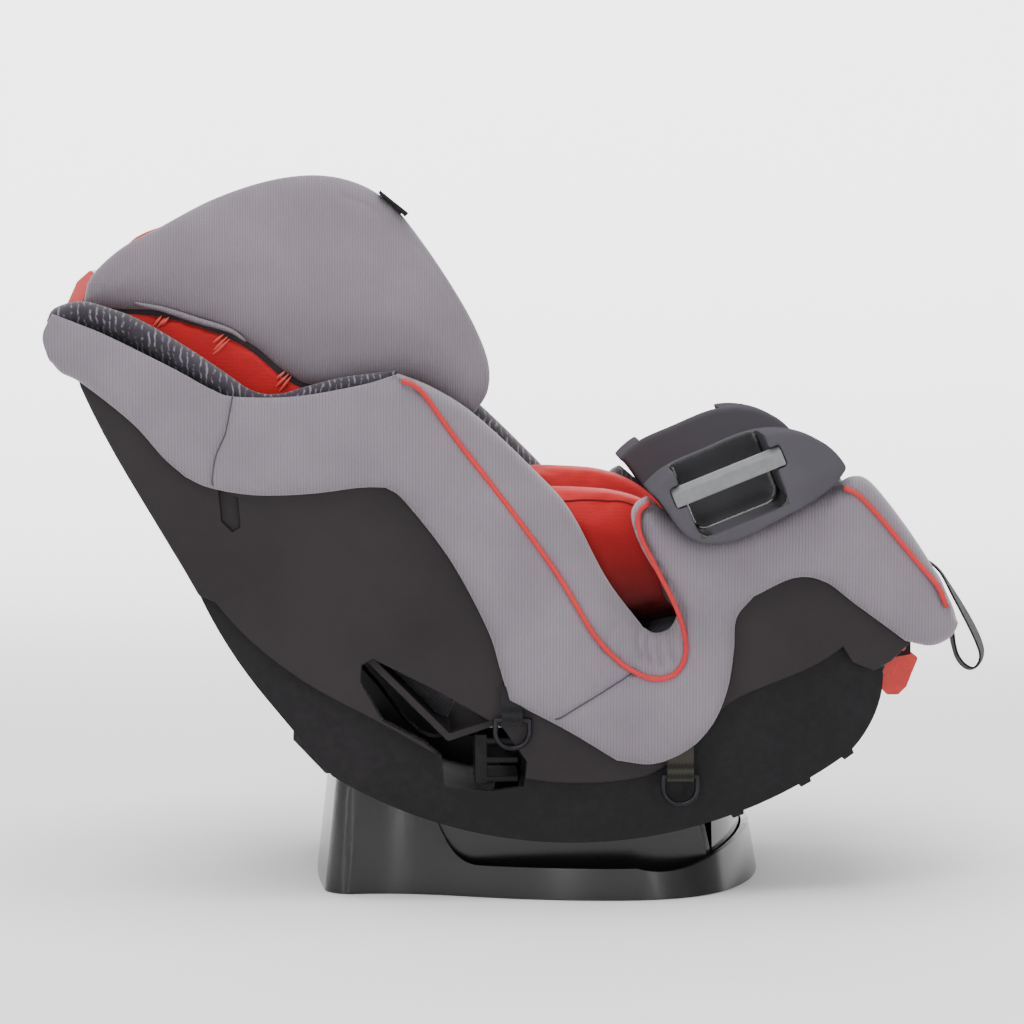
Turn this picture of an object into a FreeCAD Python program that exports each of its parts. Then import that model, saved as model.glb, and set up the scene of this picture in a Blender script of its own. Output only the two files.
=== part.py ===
import FreeCAD, Part
import math
import os

# Convertible car seat, in millimetres.  +X points out of the seat's front, +Z up,
# -Y is the seated child's right.  The seat is modelled in its most reclined position.

V = FreeCAD.Vector

# Rocker: the seat's underside is part of a cylinder that slides on the base's cradle.
PIVOT_X = 58.0
PIVOT_Z = 431.0
ROCKER_R = 382.0
ROCKER_PLATE = 5.0
TRACK_GAP = 1.5
TRACK_R = ROCKER_R + TRACK_GAP
RECLINE_STOPS_DEG = (20.6, 29.8, 36.1)

# Reclined back: distances a up the back, and b out from it towards the child.
BACK_DEG = 45.0
BACK_FACE = 67.5
BACK_TOP = 585.0
PLATE = 6.0

# Seat pan: distances s forward along the pan, and h up from it.
PAN_START_X = -45.0
PAN_START_Z = 140.5
PAN_DEG = 18.5
PAN_LENGTH = 416.0
PAD_THICK = 24.0
BACK_PAD_FACE = 100.0

# Half widths, measured from the middle of the seat.
PAD_HALF = 164.0
COVER_IN = 169.0
LINER_IN = 181.5
LINER_OUT = 190.5
SHELL_IN = 191.0
SHELL_OUT = 200.0
COVER_OUT = 215.0
ROCKER_IN = 181.0
ROCKER_OUT = 190.5
RIB_HALF = 110.0

# Base
BASE_FLOOR = 4.0
BASE_WALL = 4.0
CRADLE_HALF = 142.0
CRADLE_WALL = 6.0

# Armrest, set out along and square to a line that rises towards the front
ARM_X = 196.0
ARM_Z = 345.0
ARM_DEG = 22.0
ARM_IN = 165.0
ARM_OUT = 245.0

# Headrest
HEAD_HALF = 165.0
HEAD_PLATE_IN = 147.0
HEAD_PLATE_OUT = 151.0
HEAD_INNER = 134.0

# Harness
WEB = 1.6
SHOULDER_WEB = 38.0
PULL_WEB = 25.0
SLOT_A = 290.0
SLOT_Y = 56.0
HARNESS_ROWS = (SLOT_A, 235.0, 345.0)
RINGS = (("rear", 6.0, 153.0), ("front", 144.0, 106.0))
RING_Y = 206.0

# Route of the pull strap's middle line, x and z
PULL_PATH = [(372, 266), (384, 260), (396, 239), (409, 217), (420, 196), (425, 180), (416, 167), (403, 176),
             (397, 195), (396, 213)]

# Recline handle and lock
HANDLE_X = 345.0
HANDLE_Z = 196.0
LOCK_DEG = -8.0

# Headrest parts
HEAD_BACK = 69.0
HEAD_LEVER_A = 598.0
HEAD_LEVER_B = 84.0
SEAT_PAD_START = 36.0

CLEAR = 0.5


def save(name, shape):
    """Write one node."""
    shape.exportStep("parts/" + name + ".step")


def turn(u, w, degrees):
    """A point (u, w) turned anticlockwise in the side view."""
    angle = math.radians(degrees)
    c = math.cos(angle)
    s = math.sin(angle)
    return (u * c - w * s, u * s + w * c)


def on_back(a, b):
    """Side-view point a up the back and b out from it."""
    c = math.sin(math.radians(BACK_DEG))
    return ((b - a) * c, (a + b) * c)


def on_pan(s, h):
    """Side-view point s forward along the pan and h above it."""
    dx, dz = turn(s, h, PAN_DEG)
    return (PAN_START_X + dx, PAN_START_Z + dz)


def on_arm(u, w):
    """Side-view point in the armrest's tilted frame."""
    dx, dz = turn(u, w, ARM_DEG)
    return (ARM_X + dx, ARM_Z + dz)


def on_rocker(radius, degrees):
    """Side-view point on a circle round the recline pivot, counted forward from straight down."""
    angle = math.radians(degrees)
    return (PIVOT_X + radius * math.sin(angle), PIVOT_Z - radius * math.cos(angle))


def at(point, y):
    """A side-view point placed at width y."""
    return V(point[0], y, point[1])


def smooth(points):
    """An edge that runs smoothly through side-view points."""
    curve = Part.BSplineCurve()
    curve.interpolate([at(point, 0.0) for point in points])
    return curve.toShape()


def bow(first, middle, last):
    """A circular arc through three side-view points."""
    return Part.Arc(at(first, 0.0), at(middle, 0.0), at(last, 0.0)).toShape()


def rocker_arc(radius, start, end):
    """Arc of the recline circle between two angles."""
    middle = 0.5 * (start + end)
    return bow(on_rocker(radius, start), on_rocker(radius, middle), on_rocker(radius, end))


def runs(*stretches):
    """Edges of an outline: a stretch of two points is straight, a longer one is smooth."""
    edges = []
    for stretch in stretches:
        if len(stretch) == 2:
            edges.append(Part.makeLine(at(stretch[0], 0.0), at(stretch[1], 0.0)))
        else:
            edges.append(smooth(stretch))
    return edges


def straight(points):
    """Edges of a polygon in the side view."""
    edges = []
    for index, point in enumerate(points):
        nxt = points[(index + 1) % len(points)]
        edges.append(Part.makeLine(at(point, 0.0), at(nxt, 0.0)))
    return edges


def slab(edges, y0, y1):
    """A solid with the given side-view outline, between two widths."""
    face = Part.Face(Part.Wire(Part.__sortEdges__(edges)))
    solid = face.extrude(V(0, y1 - y0, 0))
    solid.translate(V(0, y0, 0))
    return solid


def box(x0, x1, y0, y1, z0, z1):
    """An upright box between opposite corners."""
    return Part.makeBox(x1 - x0, y1 - y0, z1 - z0, V(x0, y0, z0))


def rod(start, end, radius):
    """A round bar between two points."""
    axis = end.sub(start)
    return Part.makeCylinder(radius, axis.Length, start, axis)


def other_side(shape):
    """The same piece on the child's left."""
    return shape.mirror(V(0, 0, 0), V(0, 1, 0))


def both_sides(shape):
    """A piece together with its mirror image, as one joined or two separate solids."""
    return shape.fuse(other_side(shape))


def rounded(solid, radius, picked):
    """Round the edges that a test picks."""
    return solid.makeFillet(radius, [edge for edge in solid.Edges if picked(edge)])


def on_width(y):
    """A test for edges that lie in the plane at width y."""
    def picked(edge):
        ends = [edge.valueAt(edge.FirstParameter), edge.valueAt(edge.LastParameter)]
        ends.append(edge.valueAt(0.5 * (edge.FirstParameter + edge.LastParameter)))
        return all(abs(end.y - y) < 0.01 for end in ends)
    return picked


def on_either_face(y0, y1):
    """A test for edges on either end face of a slab."""
    low = on_width(y0)
    high = on_width(y1)
    return lambda edge: low(edge) or high(edge)


def along_y(edge):
    """A test for straight edges that run across the seat."""
    start = edge.valueAt(edge.FirstParameter)
    end = edge.valueAt(edge.LastParameter)
    across = abs(start.x - end.x) < 0.01 and abs(start.z - end.z) < 0.01
    return across and abs(start.y - end.y) > 0.5


def band(path, half_thickness, y0, y1):
    """A strap seen edge-on: a smooth side-view path thickened and run between two widths."""
    upper = []
    lower = []
    for index, point in enumerate(path):
        before = path[max(index - 1, 0)]
        after = path[min(index + 1, len(path) - 1)]
        dx = after[0] - before[0]
        dz = after[1] - before[1]
        length = math.hypot(dx, dz)
        nx = -dz / length * half_thickness
        nz = dx / length * half_thickness
        upper.append((point[0] + nx, point[1] + nz))
        lower.append((point[0] - nx, point[1] - nz))
    edges = runs(upper, lower)
    edges += runs([upper[0], lower[0]], [upper[-1], lower[-1]])
    return slab(edges, y0, y1)


def strap(stations, width, thickness):
    """Webbing through stations (side-view point, y of its middle, side-view normal)."""
    wires = []
    for point, y, normal in stations:
        length = math.hypot(normal[0], normal[1])
        out = V(normal[0], 0, normal[1]).multiply(0.5 * thickness / length)
        side = V(0, 0.5 * width, 0)
        middle = at(point, y)
        corners = [middle.add(out).add(side), middle.add(out).sub(side)]
        corners += [middle.sub(out).sub(side), middle.sub(out).add(side)]
        wires.append(Part.makePolygon(corners + [corners[0]]))
    return Part.makeLoft(wires, True, True)


# ---------------------------------------------------------------- base

def base_plan(z, draft):
    """The base's outline seen from above, drawn in by the draft at height z."""
    rear = -158.0 + draft
    right = [(-128, 150), (-60, 154), (0, 173), (60, 185), (112, 186), (160, 170), (196, 128), (218, 66)]
    side = []
    for x, y in right:
        pull = draft * 1.5 if x > 150 else 0.0
        side.append(V(x + (draft if x < -100 else 0.0) - pull, -(y - 0.6 * draft), z))
    nose = V(225.0 - 1.6 * draft, 0, z)
    mirrored = [V(p.x, -p.y, z) for p in reversed(side)]
    curve = Part.BSplineCurve()
    curve.interpolate(side + [nose] + mirrored)
    rear_right = V(rear + 8, -124, z)
    rear_left = V(rear + 8, 124, z)
    corner_right = Part.Arc(rear_right, V(rear + 14, -141, z), side[0]).toShape()
    corner_left = Part.Arc(mirrored[-1], V(rear + 14, 141, z), rear_left).toShape()
    back = Part.Arc(rear_left, V(rear, 0, z), rear_right).toShape()
    return Part.Wire([curve.toShape(), corner_left, back, corner_right])


def base_block(inset, z0, z1):
    """The tapering block inside the base's outline, less a wall's thickness."""
    low = base_plan(z0, 0.11 * z0 + inset)
    high = base_plan(z1, 0.11 * z1 + inset)
    return Part.makeLoft([low, high], True, True)


def base_shell():
    """Skirted tray: tall behind, where it follows the rocker, and low along the sides and nose."""
    rear = on_rocker(TRACK_R, -30.5)
    dip = on_rocker(TRACK_R, -17.5)
    edges = [rocker_arc(TRACK_R, -30.5, -17.5)]
    edges += runs([dip, (-50, 50), (-42, 37), (-22, 26)], [(-22, 26), (110, 26)])
    edges += runs([(110, 26), (170, 29), (205, 40), (240, 44)], [(240, 44), (240, 0)])
    edges += runs([(240, 0), (-190, 0)], [(-190, 0), (-190, rear[1])], [(-190, rear[1]), rear])
    side_view = slab(edges, -240, 240)
    hollow = base_block(BASE_WALL, BASE_FLOOR, 125.0)
    shell = base_block(0.0, 0.0, 125.0).common(side_view).cut(hollow)
    return shell


def foot_places():
    """Where the rubber strips lie on the underside."""
    return [(-120, -70, -110, -80), (-120, -70, 80, 110), (90, 140, -120, -90), (90, 140, 90, 120)]


def screw_places():
    """Where screws hold the cradle down on the floor of the base."""
    return [(-100, -131), (30, -131), (124, -131), (-100, 131), (30, 131), (124, 131)]


def base_with_holes():
    """The base with pockets for its feet and holes for its screws."""
    shell = base_shell()
    for x0, x1, y0, y1 in foot_places():
        shell = shell.cut(box(x0 - 0.3, x1 + 0.3, y0 - 0.3, y1 + 0.3, 0, 2.6))
    for x, y in screw_places():
        shell = shell.cut(rod(V(x, y, 0), V(x, y, 6), 2.3))
        shell = shell.cut(rod(V(x, y, 0), V(x, y, 2.2), 4.6))
    for x in (-40, 20, 80):
        shell = shell.cut(box(x - 16, x + 16, -50, 50, -1, BASE_FLOOR + 1))
    return shell


def base_feet():
    """Rubber strips, flush with the underside."""
    feet = [box(x0, x1, y0, y1, 0, 2.4) for x0, x1, y0, y1 in foot_places()]
    return Part.makeCompound(feet)


def base_screws():
    """Screws from below, through the base's floor into the cradle."""
    screws = []
    for x, y in screw_places():
        head = rod(V(x, y, 0.4), V(x, y, 2.0), 4.2)
        screws.append(head.fuse(rod(V(x, y, 1.0), V(x, y, 11), 2.0)))
    return Part.makeCompound(screws)


def cradle_side(radius, drop):
    """Side view of the cradle below a track of the given radius."""
    start = -27.0
    end = 23.0
    edges = [rocker_arc(radius, start, end)]
    front = on_rocker(radius, end)
    back = on_rocker(radius, start)
    edges += runs([front, (front[0], drop)], [(front[0], drop), (back[0], drop)], [(back[0], drop), back])
    return edges


def base_cradle():
    """Curved track for the rocker: a topped box with ribs and a channel for the rack."""
    full = slab(cradle_side(TRACK_R, BASE_FLOOR), -CRADLE_HALF, CRADLE_HALF)
    cradle = full.common(base_block(BASE_WALL + 1.0, BASE_FLOOR, 125.0))
    edge = CRADLE_HALF - CRADLE_WALL
    bays = []
    for x0, x1 in ((-108, -64), (-56, -8), (8, 66), (74, 116), (124, 176)):
        bays.append(box(x0, x1, -edge, -34, BASE_FLOOR - 1, 120))
        bays.append(box(x0, x1, 34, edge, BASE_FLOOR - 1, 120))
    bay = bays[0].multiFuse(bays[1:])
    under = slab(cradle_side(TRACK_R + CRADLE_WALL, BASE_FLOOR - 1), -CRADLE_HALF, CRADLE_HALF)
    keel = slab(cradle_side(TRACK_R + 15.0, BASE_FLOOR - 1), -28, 28)
    cradle = cradle.cut(bay.common(under)).cut(keel.common(box(-108, 176, -28, 28, 0, 120)))
    channel = slab(cradle_side(TRACK_R + 9.0, 0.0), -22, 22)
    ring = slab(cradle_side(TRACK_R - 1.0, 0.0), -22, 22).cut(channel)
    cradle = cradle.cut(ring)
    for x, y in screw_places():
        post = rod(V(x, y, BASE_FLOOR), V(x, y, 14), 6.0)
        cradle = cradle.fuse(post.common(base_block(BASE_WALL + 1.0, BASE_FLOOR, 125.0)))
        cradle = cradle.cut(rod(V(x, y, 0), V(x, y, 12), 2.05))
    return cradle


def recline_rack():
    """Steel strip in the cradle's channel with a notch for each recline position."""
    inner = TRACK_R + 1.5
    rack = slab(arc_band(TRACK_R + 8.5, inner, -14, 20), -18, 18)
    for step in RECLINE_STOPS_DEG:
        angle = step - RECLINE_STOPS_DEG[0] + LOCK_DEG
        notch = [rocker_arc(inner - 2, angle - 1.5, angle + 1.5)]
        notch.append(rocker_arc(inner + 4, angle - 1.1, angle + 1.1))
        notch += runs([on_rocker(inner - 2, angle - 1.5), on_rocker(inner + 4, angle - 1.1)])
        notch += runs([on_rocker(inner - 2, angle + 1.5), on_rocker(inner + 4, angle + 1.1)])
        rack = rack.cut(slab(notch, -12, 12))
    return rack


# ---------------------------------------------------------------- seat shell

def belt_window():
    """Outline of the opening where the vehicle belt passes through the shell."""
    top = [(-118, 184), (-117, 198), (-108, 203), (-57, 177), (-20, 156), (-2, 146)]
    low = [(18, 118), (16, 96), (-12, 92), (-49, 96), (-52, 122), (-66, 134), (-100, 152)]
    return straight(top + low)


def shell_side_edges(grow):
    """Outline of the shell's side wall; grow lifts its covered upper edge."""
    g = grow
    top = [(-352 - g, 452), (-340, 463 + g), (-321, 457 + g), (-269, 431 + g), (-219, 408 + g)]
    top += [(-171, 406 + g), (-118, 415 + g), (-94, 423 + g)]
    wing = [(-94, 423 + g), (-62 + g, 408 + g), (-33 + g, 386 + g), (12 + g, 342 + g), (42 + g, 307 + g)]
    wing += [(74 + g, 254 + g), (100, 216 + g)]
    dip = [(100, 216 + g), (122, 209 + g), (146, 214 + g), (154 - g, 238)]
    rise = [(154 - g, 238), (134 - g, 284), (142, 291 + g), (165, 288 + g)]
    arm = [(165, 288 + g), (195, 295 + g), (248, 320 + g), (282, 342 + g)]
    front = [(282, 342 + g), (298 + g, 330), (326 + g, 292), (352 + g, 252), (356 + g, 234)]
    nose = [(356 + g, 234), (346, 226), (318, 200)]
    edges = runs(top, wing, dip, rise, arm, front, nose)
    edges += runs([(318, 200), (303, 192)], [(303, 192), (286, 199)], [(286, 199), (278, 212)])
    step = [(278, 212), (218, 181), (181, 163), (150, 129), (122, 108), (88, 101), (50, 100), (16, 104)]
    rear = [(16, 104), (-52, 122), (-98, 148), (-152, 177), (-196, 208), (-236, 250)]
    edges += runs(step, rear, [(-236, 250), (-250, 256)])
    edges += runs([(-250, 256), (-285, 316), (-311, 360), (-345, 427)], [(-345, 427), (-352 - g, 452)])
    return edges


def plate_edges(top_a, upper, lower):
    """Side view of the back and pan plates between two distances from the child's face."""
    corner_up = on_back_pan(upper)
    corner_low = on_back_pan(lower)
    front_up = on_pan(PAN_LENGTH, upper)
    front_low = on_pan(PAN_LENGTH - PLATE, lower)
    points = [on_back(top_a, BACK_FACE + upper), corner_up, front_up, (368 + upper, 238)]
    points += [(368 + lower, 238), front_low, corner_low, on_back(top_a, BACK_FACE + lower)]
    return straight(points)


def on_back_pan(offset):
    """Where lines set the same distance out from the back plate and the pan meet."""
    run = math.tan(math.radians(PAN_DEG))
    level = PAN_START_Z + offset / math.cos(math.radians(PAN_DEG))
    total = (BACK_FACE + offset) / math.sin(math.radians(BACK_DEG))
    x = (total - level + PAN_START_X * run) / (1.0 + run)
    return (x, total - x)


def child_space():
    """Everything on the child's side of the back and pan plates, as wide as the seat."""
    points = [on_back(700, BACK_FACE + CLEAR), on_back_pan(CLEAR), on_pan(PAN_LENGTH + 3, CLEAR)]
    points += [(369.5, 238), (369.5, 200), (460, 200), (460, 700), (0, 800)]
    return slab(straight(points), -240, 240)


def slot(a, y, width):
    """A harness slot through the back plate and the pad on it."""
    points = [on_back(a - 4.5, 50), on_back(a + 4.5, 50), on_back(a + 4.5, 112), on_back(a - 4.5, 112)]
    return slab(straight(points), y - 0.5 * width, y + 0.5 * width)


def crotch_slot():
    """The slot through the pan and the seat cushion for the strap between the legs."""
    points = [on_pan(210, -20), on_pan(222, -20), on_pan(222, 40), on_pan(210, 40)]
    return slab(straight(points), -23, 23)


def head_track():
    """The long slot up the back in which the headrest's slider runs."""
    points = [on_back(388, 50), on_back(562, 50), on_back(562, 80), on_back(388, 80)]
    return slab(straight(points), -13, 13)


def shell_side():
    """Side wall of the shell, with the belt window and the pocket of a trim hook."""
    side = slab(shell_side_edges(0.0), -SHELL_OUT, -SHELL_IN)
    side = side.cut(slab(belt_window(), -SHELL_OUT - 1, -SHELL_IN + 1))
    hook = [(-233, 343), (-218, 336), (-216, 312), (-222, 308), (-231, 317)]
    return side.cut(slab(straight(hook), -SHELL_OUT - 1, -SHELL_OUT + 5))


def shell_plates():
    """The shell's back and pan plates, with their slots for the harness and the headrest."""
    plates = slab(plate_edges(BACK_TOP, 0.0, -PLATE), -SHELL_IN, SHELL_IN)
    for a in HARNESS_ROWS:
        for y in (-SLOT_Y, SLOT_Y):
            plates = plates.cut(slot(a, y, SHOULDER_WEB + 8))
    return plates.cut(crotch_slot()).cut(head_track())


def rear_panel():
    """Cover behind the seat with a window over the harness."""
    outer = [(-334, 410), (-308, 358), (-282, 313), (-249, 257), (-231, 222), (-209, 190), (-180, 154)]
    inner = [(x + 4, z + 2) for x, z in outer]
    edges = runs(outer, inner, [outer[0], inner[0]], [outer[-1], inner[-1]])
    panel = slab(edges, -ROCKER_IN + 1.5, ROCKER_IN - 1.5)
    return panel.cut(box(-340, -200, -66, 66, 215, 385)).cut(box(-345, -280, -27, 27, 380, 430))


def rocker_edges():
    """Side view of the seat's lower band."""
    top = [(-238, 262), (-192, 226), (-140, 188), (-98, 166), (-45, 138), (0, 122), (54, 114), (104, 118)]
    top += [(150, 142), (205, 190), (262, 222), (298, 224)]
    front = [(298, 224), (312, 192), (310, 168), on_rocker(ROCKER_R, 36.5)]
    rear = [on_rocker(ROCKER_R, -31.5), (-160, 127), (-190, 163), (-209, 187), (-231, 220), (-250, 256)]
    edges = runs(top, front, rear, [(-250, 256), (-238, 262)])
    edges.append(rocker_arc(ROCKER_R, -31.5, 36.5))
    return edges


def rocker_lugs():
    """Marks under the front of the band, one for each recline position."""
    lugs = []
    for stop in RECLINE_STOPS_DEG:
        lug = [on_rocker(ROCKER_R - 8, stop - 1.2), on_rocker(ROCKER_R - 8, stop + 1.2)]
        lug += [on_rocker(ROCKER_R + 3, stop + 0.7), on_rocker(ROCKER_R + 3, stop - 0.7)]
        lugs.append(slab(straight(lug), -ROCKER_OUT, -ROCKER_OUT + 5))
    return lugs


def handle_ears():
    """Ear that holds one end of the recline handle's pin, on its tie to the rib."""
    ear = slab(straight([(296, 205), (300, 172), (330, 186), (352, 190), (352, 203), (335, 208)]), -66, -61)
    ear = ear.cut(rod(V(HANDLE_X, -70, HANDLE_Z), V(HANDLE_X, -55, HANDLE_Z), 3.05))
    return ear.fuse(box(296, 308, -RIB_HALF + 4, -61, 182, 200))


def rocker_side():
    """Side wall of the seat's lower band, with its recline marks."""
    side = slab(rocker_edges(), -ROCKER_OUT, -ROCKER_IN)
    side = side.multiFuse(rocker_lugs())
    return side.cut(slab(belt_window(), -SHELL_OUT, -ROCKER_IN + 2))


def arc_band(outer, inner, start, end):
    """Outline of a band between two circles round the recline pivot."""
    edges = [rocker_arc(outer, start, end), rocker_arc(inner, start, end)]
    edges += runs([on_rocker(outer, start), on_rocker(inner, start)])
    return edges + runs([on_rocker(outer, end), on_rocker(inner, end)])


def rocker_plate():
    """Curved plate that slides on the cradle, with a hole for the lock tooth."""
    inner = ROCKER_R - ROCKER_PLATE
    plate = slab(arc_band(ROCKER_R, inner, -31, 36), -ROCKER_IN, ROCKER_IN)
    ends = (LOCK_DEG - 2.2, LOCK_DEG + 2.2)
    key = [on_rocker(inner - 2, ends[0]), on_rocker(inner - 2, ends[1])]
    key += [on_rocker(ROCKER_R + 2, ends[1]), on_rocker(ROCKER_R + 2, ends[0])]
    return plate.cut(slab(straight(key), -14, 14))


def front_wall():
    """Wall across the front of the band, open round the recline handle and at the pull strap."""
    lower = [on_rocker(ROCKER_R - 0.5, 36.3), (309, 168), (311, 192), (298, 223)]
    lower += [(293, 223), (306, 191), (304, 169), on_rocker(ROCKER_R - 6, 35.6)]
    wall = slab(straight(lower), -ROCKER_IN, ROCKER_IN)
    upper = slab(straight([(293, 223), (298, 223), (298, 248), (293, 246)]), -ROCKER_IN, ROCKER_IN)
    wall = wall.fuse(upper).cut(box(280, 330, -70, 70, 140, 212))
    return wall.cut(box(280, 310, -15, 15, 230, 260))


def above_plate(shape):
    """A piece inside the band, cut off where the curved plate begins."""
    below = arc_band(ROCKER_R + 1, ROCKER_R - ROCKER_PLATE, -31, 36)
    return shape.cut(slab(below, -ROCKER_IN - 1, ROCKER_IN + 1))


def rocker_rib():
    """Inner rib that stands on the plate, ahead of the belt's way and behind the front wall."""
    rib = slab(rocker_edges(), -RIB_HALF, -RIB_HALF + 4)
    front_room = straight([(293, 260), (293, 223), (306, 191), (304, 169), on_rocker(ROCKER_R - 6, 35.6),
                           on_rocker(ROCKER_R + 6, 36.5), (340, 150), (340, 260)])
    rib = rib.cut(slab(front_room, -RIB_HALF - 1, -RIB_HALF + 5))
    rib = rib.cut(box(-260, 30, -RIB_HALF - 1, -RIB_HALF + 5, 0, 280))
    return above_plate(rib)


def rocker_front():
    """Wall across the front of the band, with the ears of the recline handle."""
    return above_plate(front_wall().fuse(both_sides(handle_ears())))


def rear_bracket():
    """Stop across the rear of the rocker that rests on the back of the base."""
    points = [(-174.5, 141), (-175, 130), (-148, 101.5), (-143.5, 101.5), (-143.8, 107), (-162.5, 128)]
    return rounded(slab(straight(points), -150, 150), 1.2, along_y)


def belt_guide():
    """Slatted guide behind the belt opening."""
    frame = box(-24, -14, -179, -116, 96, 138)
    slats = [box(-15, 12, -179, -116, z, z + 5) for z in (98, 114, 130)]
    guide = frame.multiFuse(slats)
    return Part.makeCompound([guide, other_side(guide)])


# ---------------------------------------------------------------- soft parts

def cover_outline():
    """Outline of the padded cover over one side wall, seen from the side."""
    lobe = [(-369, 448), (-374, 470), (-364, 487)]
    top = [(-364, 487), (-321, 469), (-269, 443), (-219, 420), (-171, 419), (-118, 428), (-87, 437)]
    wing = [(-87, 437), (-58, 425), (-24, 403), (25, 357), (54, 324), (84, 268), (114, 228)]
    dip = [(114, 228), (124, 223), (136, 227), (143, 240)]
    rise = [(143, 240), (134, 258), (113, 292), (104, 318), (108, 331), (117, 336)]
    arm = [(117, 336), (134, 315), (152, 301), (176, 299), (195, 305), (221, 317), (248, 331), (274, 346)]
    front = [(274, 346), (286, 352), (301, 347), (328, 314), (352, 278), (368, 247), (373, 232)]
    toe = [(373, 232), (366, 220), (350, 213), (329, 217)]
    arch = [(329, 217), (288, 247), (262, 266), (237, 269), (204, 254)]
    leg = [(204, 254), (190, 236), (188, 210), (183, 178), (171, 149), (150, 127), (122, 116), (92, 119)]
    hem = [(92, 119), (49, 145), (3, 169)]
    rear = [(3, 169), (-4, 195), (-15, 229), (-45, 285), (-82, 333), (-97, 344)]
    belly = [(-97, 344), (-118, 344), (-159, 339), (-203, 338), (-240, 344), (-260, 353)]
    neck = [(-260, 353), (-278, 369), (-303, 397), (-343, 429), (-360, 438), (-369, 448)]
    return runs(lobe, top, wing, dip, rise, arm, front, toe, arch, leg, hem, rear, belly, neck)


def side_cover():
    """Padded fabric folded over the shell's side wall: an outer leg, a roll and an inner leg."""
    cover = slab(cover_outline(), -COVER_OUT, -COVER_IN)
    wall = slab(shell_side_edges(0.7), -SHELL_OUT - CLEAR, -LINER_IN + CLEAR)
    inner = slab(cover_outline(), -SHELL_OUT - CLEAR, -COVER_IN + 1)
    cover = cover.cut(wall).cut(inner.cut(child_space()))
    for _, x, z in RINGS:
        cover = cover.cut(box(x - 11.5, x + 11.5, -RING_Y - 1.3, -SHELL_OUT, z - 10, z + 33))
    return cover


def piping():
    """Coloured cord sewn along the cover's outer edge, in two lengths."""
    wing = [(-84, 432), (-68, 423), (-39, 383), (5, 326), (43, 273), (72, 225), (91, 204), (107, 193)]
    wing += [(122, 188), (137, 191), (146, 203), (147, 220), (140, 245), (122, 281), (110, 306)]
    wing += [(109, 324), (118, 333)]
    front = [(276, 344), (288, 338), (307, 318), (323, 299), (339, 280), (353, 264), (361, 246)]
    cords = []
    for line in (wing, front):
        path = smooth(line)
        path.translate(V(0, -COVER_OUT, 0))
        start = path.valueAt(path.FirstParameter)
        heading = path.tangentAt(path.FirstParameter)
        circle = Part.Wire(Part.makeCircle(2.4, start, heading))
        cords.append(Part.Wire(path).makePipeShell([circle], True, False))
    return Part.makeCompound(cords)


def side_liner():
    """Energy-absorbing foam inside the shell's side wall."""
    wall = slab(shell_side_edges(0.0), -LINER_OUT, -LINER_IN)
    liner = wall.common(child_space())
    return max(liner.Solids, key=lambda solid: solid.Volume)


def back_pad():
    """Back cushion below the headrest."""
    points = [on_back(325, BACK_FACE + CLEAR), on_back(325, BACK_PAD_FACE)]
    points += [on_back_pan(BACK_PAD_FACE - BACK_FACE), on_back_pan(CLEAR)]
    pad = slab(straight(points), -PAD_HALF, PAD_HALF)
    pad = rounded(pad, 7.0, on_either_face(-PAD_HALF, PAD_HALF))
    for a in HARNESS_ROWS[:2]:
        for y in (-SLOT_Y, SLOT_Y):
            pad = pad.cut(slot(a, y, SHOULDER_WEB + 8))
    return pad


def seat_pad():
    """Seat cushion, turned down over the front edge."""
    rear_low = on_pan(SEAT_PAD_START, CLEAR)
    rear_up = on_pan(SEAT_PAD_START + 12, PAD_THICK)
    crest = on_pan(PAN_LENGTH - 40, PAD_THICK)
    edges = runs([rear_low, rear_up], [rear_up, crest])
    edges += runs([crest, on_pan(PAN_LENGTH - 4, PAD_THICK - 7), (366, 264), (377, 241)])
    edges += runs([(377, 241), (369.5, 236)], [(369.5, 236), on_pan(PAN_LENGTH + 3, CLEAR)])
    edges += runs([on_pan(PAN_LENGTH + 3, CLEAR), rear_low])
    pad = slab(edges, -PAD_HALF, PAD_HALF)
    well = straight([on_pan(372, -1), on_pan(416, -1), on_pan(416, 40), on_pan(372, 40)])
    mouth = straight([on_pan(410, 5), on_pan(410, 60), (420, 300), (420, 250), (371, 250)])
    return pad.cut(crotch_slot()).cut(slab(well, -27, 27)).cut(slab(mouth, -16, 16))


def insert_bolster():
    """Red side cushion of the body insert, standing on the back and seat pads."""
    top = [on_back(300, 102), (-90, 305), (-20, 333), (50, 341), (105, 337), (150, 310), on_pan(235, 36)]
    corner = on_back_pan(BACK_PAD_FACE - BACK_FACE + 1.5)
    edges = runs(top, [on_pan(235, 36), on_pan(232, 26)], [on_pan(232, 26), corner])
    edges += runs([corner, on_back(300, 102)])
    cushion = slab(edges, -PAD_HALF + 1, -PAD_HALF + 56)
    return rounded(cushion, 8.0, on_either_face(-PAD_HALF + 1, -PAD_HALF + 56))


# ---------------------------------------------------------------- armrest

def arm_outline():
    """Side view of the armrest: flat top, rounded nose and a bowl below."""
    top = [(-76, 29), (-50, 37.5), (-20, 38.5), (20, 38.5), (50, 29), (71, 11), (82, -17)]
    under = [(70, -25), (44, -30), (14, -33), (-44, -31), (-58, -21), (-68, 8), (-76, 29)]
    return runs([on_arm(u, w) for u, w in top], [on_arm(82, -17), on_arm(70, -25)],
                [on_arm(u, w) for u, w in under])


def low_in_arm(edge):
    """Whether an edge lies at the floor of the armrest's well."""
    point = edge.valueAt(edge.FirstParameter)
    return turn(point.x - ARM_X, point.z - ARM_Z, -ARM_DEG)[1] < 0


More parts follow.
